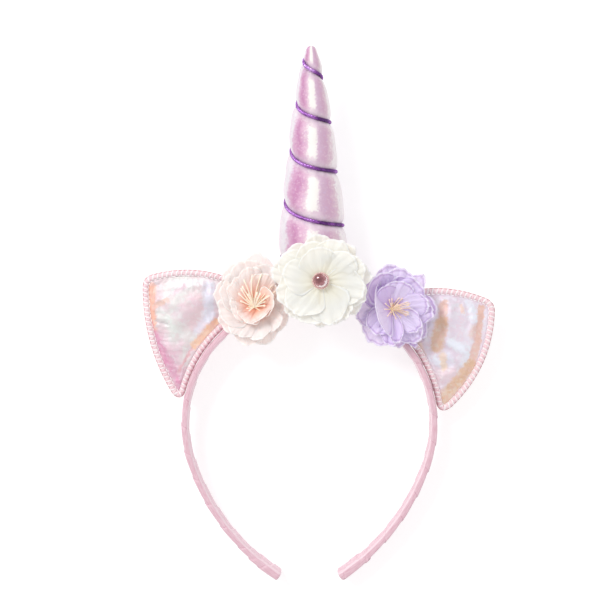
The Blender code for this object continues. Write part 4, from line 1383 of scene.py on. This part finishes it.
# %% The ivory flower
MIDDLE_BACK = (
    (94, 0.98, 0.44, 0.03, 0.6), (8, 1.02, 0.42, 0.05, 0.6), (168, 1.05, 0.40, 0.05, 0.8),
    (228, 0.99, 0.44, 0.03, 0.5), (272, 0.98, 0.44, 0.03, 0.6), (50, 0.96, 0.42, 0.04, 0.6),
    (130, 0.95, 0.40, 0.04, 0.4), (320, 1.00, 0.44, 0.04, 0.5),
)
MIDDLE_INNER = (
    (148, 0.98, 0.44, 0.09, 1.0), (106, 0.88, 0.44, 0.10, 0.6), (68, 0.95, 0.46, 0.10, 0.9),
    (22, 0.94, 0.46, 0.11, 0.6), (340, 0.98, 0.46, 0.08, 0.8), (298, 0.96, 0.46, 0.06, 0.7),
    (250, 0.95, 0.48, 0.07, 0.9), (200, 0.95, 0.46, 0.09, 0.6),
)
MIDDLE_CUP = (
    (94, 0.74, 0.44, 0.12, 0.6), (38, 0.84, 0.44, 0.09, 0.9), (160, 0.80, 0.44, 0.11, 0.8),
    (346, 0.90, 0.46, 0.07, 0.9), (222, 0.87, 0.48, 0.07, 0.8), (284, 0.92, 0.48, 0.05, 1.0),
)
MIDDLE_LAYERS = (("back", MIDDLE_BACK, 0.035), ("inner", MIDDLE_INNER, 0.035), ("cup", MIDDLE_CUP, 0.025))
for order, (layer, rows, lean) in enumerate(MIDDLE_LAYERS):
    petals = petal_layer(MIDDLE, layer, order, rows, ruffle=0.065, frill=3.2, lean=lean, end=0.52)
    finish(petals, "ivory_cloth", ivory, f"flower_middle_{layer}")

# %% The lilac flower
RIGHT_HUB = (-1.85, -0.8)
RIGHT_BACK = (
    (46, 1.02, 0.28, 0.06, 1.0), (98, 1.02, 0.44, 0.10, 0.8), (144, 0.92, 0.34, 0.10, 0.1),
    (194, 0.97, 0.36, 0.06, 0.8), (236, 1.04, 0.50, 0.05, 1.0), (276, 0.98, 0.36, 0.06, 0.6),
    (316, 1.05, 0.34, 0.06, 0.9), (354, 1.02, 0.42, 0.08, 0.4), (298, 1.12, 0.15, 0.02, 0.0),
)
RIGHT_INNER = (
    (120, 0.90, 0.44, 0.26, 0.0, 0.06), (82, 0.95, 0.42, 0.18, 0.8), (222, 0.82, 0.34, 0.14, 0.9),
    (262, 0.92, 0.30, 0.18, 0.6, 0.16), (350, 0.92, 0.38, 0.18, 0.6, -0.10),
    (302, 1.00, 0.36, 0.13, 1.0, 0.14), (42, 0.84, 0.52, 0.20, 0.6),
)
RIGHT_CUP = (
    (120, 0.60, 0.32, 0.26, 0.0), (66, 0.66, 0.42, 0.16, 0.8), (318, 0.78, 0.30, 0.14, 0.9, 0.14),
    (6, 0.80, 0.34, 0.16, 0.7, -0.06), (272, 0.84, 0.20, 0.22, 0.5, 0.22),
    (194, 0.50, 0.64, 0.42, 0.9, -0.06, 0.08, 0.10),
)
RIGHT_LAYERS = (("back", RIGHT_BACK), ("inner", RIGHT_INNER), ("cup", RIGHT_CUP))
for order, (layer, rows) in enumerate(RIGHT_LAYERS):
    petals = petal_layer(RIGHT, layer, order, rows, hub=RIGHT_HUB, ruffle=0.085, frill=3.6)
    finish(petals, "lilac_cloth", lilac, f"flower_right_{layer}")

# %% [markdown]
# ## Stamens
#
# A bundle of stiff threads with a grain of paste on each tip stands in the middle of the two outer flowers.
# They fan out towards one side, because the bundle was tied in a little crooked.

# %% Stamens
STAMEN_POINTS = 14
STAMEN_SIDES = 7


def stamens(flower, foot, threads, thickness):
    """Each thread is (its way in degrees, its length in millimetres). They climb out of one knot."""
    made = []
    turn = np.array(flower.matrix.to_3x3())
    hub = np.array(flower.matrix.translation)
    for index, (way, length) in enumerate(threads):
        share = np.linspace(0, 1, STAMEN_POINTS)
        angle = math.radians(way + 3 * chance(index, 1, flower.radius_x))
        reach = length * MM
        climb = 2.6 * MM + 1.6 * MM * chance(index, 3)
        side = 0.08 * chance(index, 4) * reach * share**2
        line = np.stack([
            foot[0] * MM + reach * share * math.cos(angle) - side * math.sin(angle),
            foot[1] * MM + reach * share * math.sin(angle) + side * math.cos(angle),
            foot[2] * MM + climb * np.sin(share * 1.9) + 0.10 * reach * share,
        ], axis=1)
        radii = thickness * MM * (1 - 0.30 * share)
        radii[-3:] = thickness * MM * np.array([1.05, 1.35, 1.05])
        made.append(tube(f"stamen_{index}", line @ turn.T + hub, radii, STAMEN_SIDES))
    return join(f"flower_{flower.name}_stamen_threads", made)


def filament(name, foot, tip):
    look = Look(name, Roughness=0.6, Sheen_Weight=0.3, Subsurface_Weight=0.15, Subsurface_Scale=0.001)
    grain = look.noise(1800.0, 2.0)
    colour = look.blend(look.uv("Y"), foot, tip)
    look.set(Base_Color=look.blend(look.stretch(grain, 0.4, 0.7) * 0.3, colour, (0.98, 0.92, 0.82)))
    look.bump(grain, 0.0001, 0.5)
    return look.material


LEFT_THREADS = (
    (178, 6.5), (160, 7.5), (146, 10.0), (136, 11.0), (124, 11.5), (113, 14.0), (103, 15.0), (94, 16.0),
    (85, 14.5), (76, 13.0), (66, 13.5), (58, 14.0), (50, 13.0), (42, 12.5), (33, 9.5), (22, 7.5), (8, 5.5),
    (200, 4.0), (225, 3.2), (330, 3.6), (90, 7.0), (60, 7.5), (120, 7.0), (150, 5.5), (35, 6.0), (75, 5.0),
    (105, 4.5),
)
RIGHT_THREADS = (
    (-38, 6.5), (-22, 8.0), (-12, 8.4), (-2, 8.2), (8, 8.8), (18, 8.2), (28, 8.8), (40, 8.4), (52, 7.5),
    (66, 6.5), (82, 5.8), (100, 5.2), (122, 5.0), (148, 4.6), (176, 4.2), (205, 4.0), (236, 4.4), (268, 4.8),
    (296, 5.2), (20, 4.0), (60, 3.5), (0, 4.5), (110, 3.0), (-60, 3.2),
)
STAMEN_FOOT = 4.6
left_stamens = stamens(LEFT, (*LEFT_HUB, STAMEN_FOOT), LEFT_THREADS, 0.40)
right_stamens = stamens(RIGHT, (*RIGHT_HUB, STAMEN_FOOT), RIGHT_THREADS, 0.30)
peach_threads = filament("peach_filament", (0.97, 0.80, 0.60), (0.98, 0.86, 0.74))
gold_threads = filament("gold_filament", (0.88, 0.66, 0.38), (0.90, 0.70, 0.60))
finish(left_stamens, "filament", peach_threads, "flower_left_stamens")
finish(right_stamens, "filament", gold_threads, "flower_right_stamens")

# %% [markdown]
# ## The stone
#
# A cut stone is the hull of its corners, so its corners are placed in rings and `convex_hull` finds the
# facets. Round it runs a row of small beads, and both sit on the ivory petals.

# %% The stone and its beads
GEM_RADIUS = 3.35 * MM
GEM_GIRDLE = 0.9 * MM
GEM_HEIGHT = 2.7 * MM
GEM_SIDES = 16
BEAD_COUNT = 26
BEAD_RADIUS = 0.48 * MM
GEM_SEAT = 4.9 * MM
GEM_SHIFT = np.array([-0.3, 0.6, 0.0]) * MM

GEM_RINGS = np.array((
    (1.00, 0.0, 0.0), (1.00, 0.0, 0.0), (0.94, 0.30, 0.0), (0.74, 0.72, 0.5), (0.52, 1.0, 0.0),
))
GEM_CORNERS = GEM_SIDES * len(GEM_RINGS)

bpy.ops.mesh.primitive_circle_add(vertices=GEM_CORNERS, radius=GEM_RADIUS, location=(0, 0, 0))
gem = bpy.context.object
gem.name = gem.data.name = "gem_stone"
corner = np.arange(GEM_CORNERS)
ring = corner // GEM_SIDES
share, climb, shift = GEM_RINGS[ring].T
angle = 2 * math.pi * (corner % GEM_SIDES + shift) / GEM_SIDES
level = np.where(ring == 0, 0.0, GEM_GIRDLE + climb * (GEM_HEIGHT - GEM_GIRDLE))
places = np.stack([share * GEM_RADIUS * np.cos(angle), share * GEM_RADIUS * np.sin(angle), level], axis=1)
turn = np.array(MIDDLE.matrix.to_3x3())
hub = np.array(MIDDLE.matrix.translation) + GEM_SHIFT
reshape(gem, (places + [0, 0, GEM_SEAT]) @ turn.T + hub)
choose(gem)
bpy.ops.object.mode_set(mode="EDIT")
bpy.ops.mesh.select_all(action="SELECT")
bpy.ops.mesh.convex_hull()
bpy.ops.mesh.normals_make_consistent(inside=False)
bpy.ops.object.mode_set(mode="OBJECT")

beads = []
for index in range(BEAD_COUNT):
    angle = 2 * math.pi * index / BEAD_COUNT
    spot = np.array([math.cos(angle), math.sin(angle), 0]) * (GEM_RADIUS + BEAD_RADIUS * 0.75)
    spot[2] = GEM_SEAT + 0.6 * MM
    place = turn @ spot + hub
    bpy.ops.mesh.primitive_ico_sphere_add(subdivisions=2, radius=BEAD_RADIUS, location=place)
    beads.append(bpy.context.object)
beads = join("gem_beads", beads)


GEM_CENTRE = LYING @ Vector(hub + turn @ np.array([0, 0, GEM_SEAT + 0.8 * GEM_HEIGHT]))
STONE_STOPS = (
    (0.00, (0.13, 0.035, 0.05)), (0.55, (0.28, 0.09, 0.10)), (0.95, (0.50, 0.22, 0.24)),
    (1.00, (0.93, 0.78, 0.79)),
)


def rose_stone():
    """Foil-backed stones look dark where the foil mirrors the room's dark side, and pale on the other."""
    look = Look("rose_stone", Coat_Weight=1.0, Coat_Roughness=0.03, Specular_IOR_Level=0.8, Metallic=0.35)
    # Painted reflection: the stone is dark on the side nearest this point and pale on the far side.
    dark_side = GEM_CENTRE + Vector((-0.9, 0.9, 0)) * MM
    away = look.node("VectorMath", {"operation": "DISTANCE"}, look.place(), tuple(dark_side), out="Value")
    spark = look.noise(1300.0, 0.0)
    colour = look.ramp(away / GEM_RADIUS + (spark - 0.5) * 0.5, STONE_STOPS)
    look.set(Base_Color=colour, Roughness=0.05 + spark * 0.05)
    return look.material


def rose_bead():
    look = Look("rose_beads", Metallic=0.7)
    grain = look.noise(2500.0, 1.0)
    look.set(Base_Color=look.blend(grain, (0.62, 0.26, 0.26), (0.97, 0.78, 0.76)), Roughness=0.2 + grain * 0.2)
    return look.material


finish(gem, "rose_stone", rose_stone(), "gem")
bpy.ops.object.shade_flat()
finish(beads, "rose_stone", rose_bead())

# %% [markdown]
# ## Measure
#
# The sizes of the imported model's box and of the dressed model's box are printed side by side, axis by axis.
# The dressed model has to stay inside the box of the imported one, apart from a little cloth.

# %% Sizes
dressed_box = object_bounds()


for axis in range(3):
    sides = [box[1][axis] - box[0][axis] for box in (cad_box, dressed_box)]
    print("XYZ"[axis], [round(side / MM, 1) for side in sides])
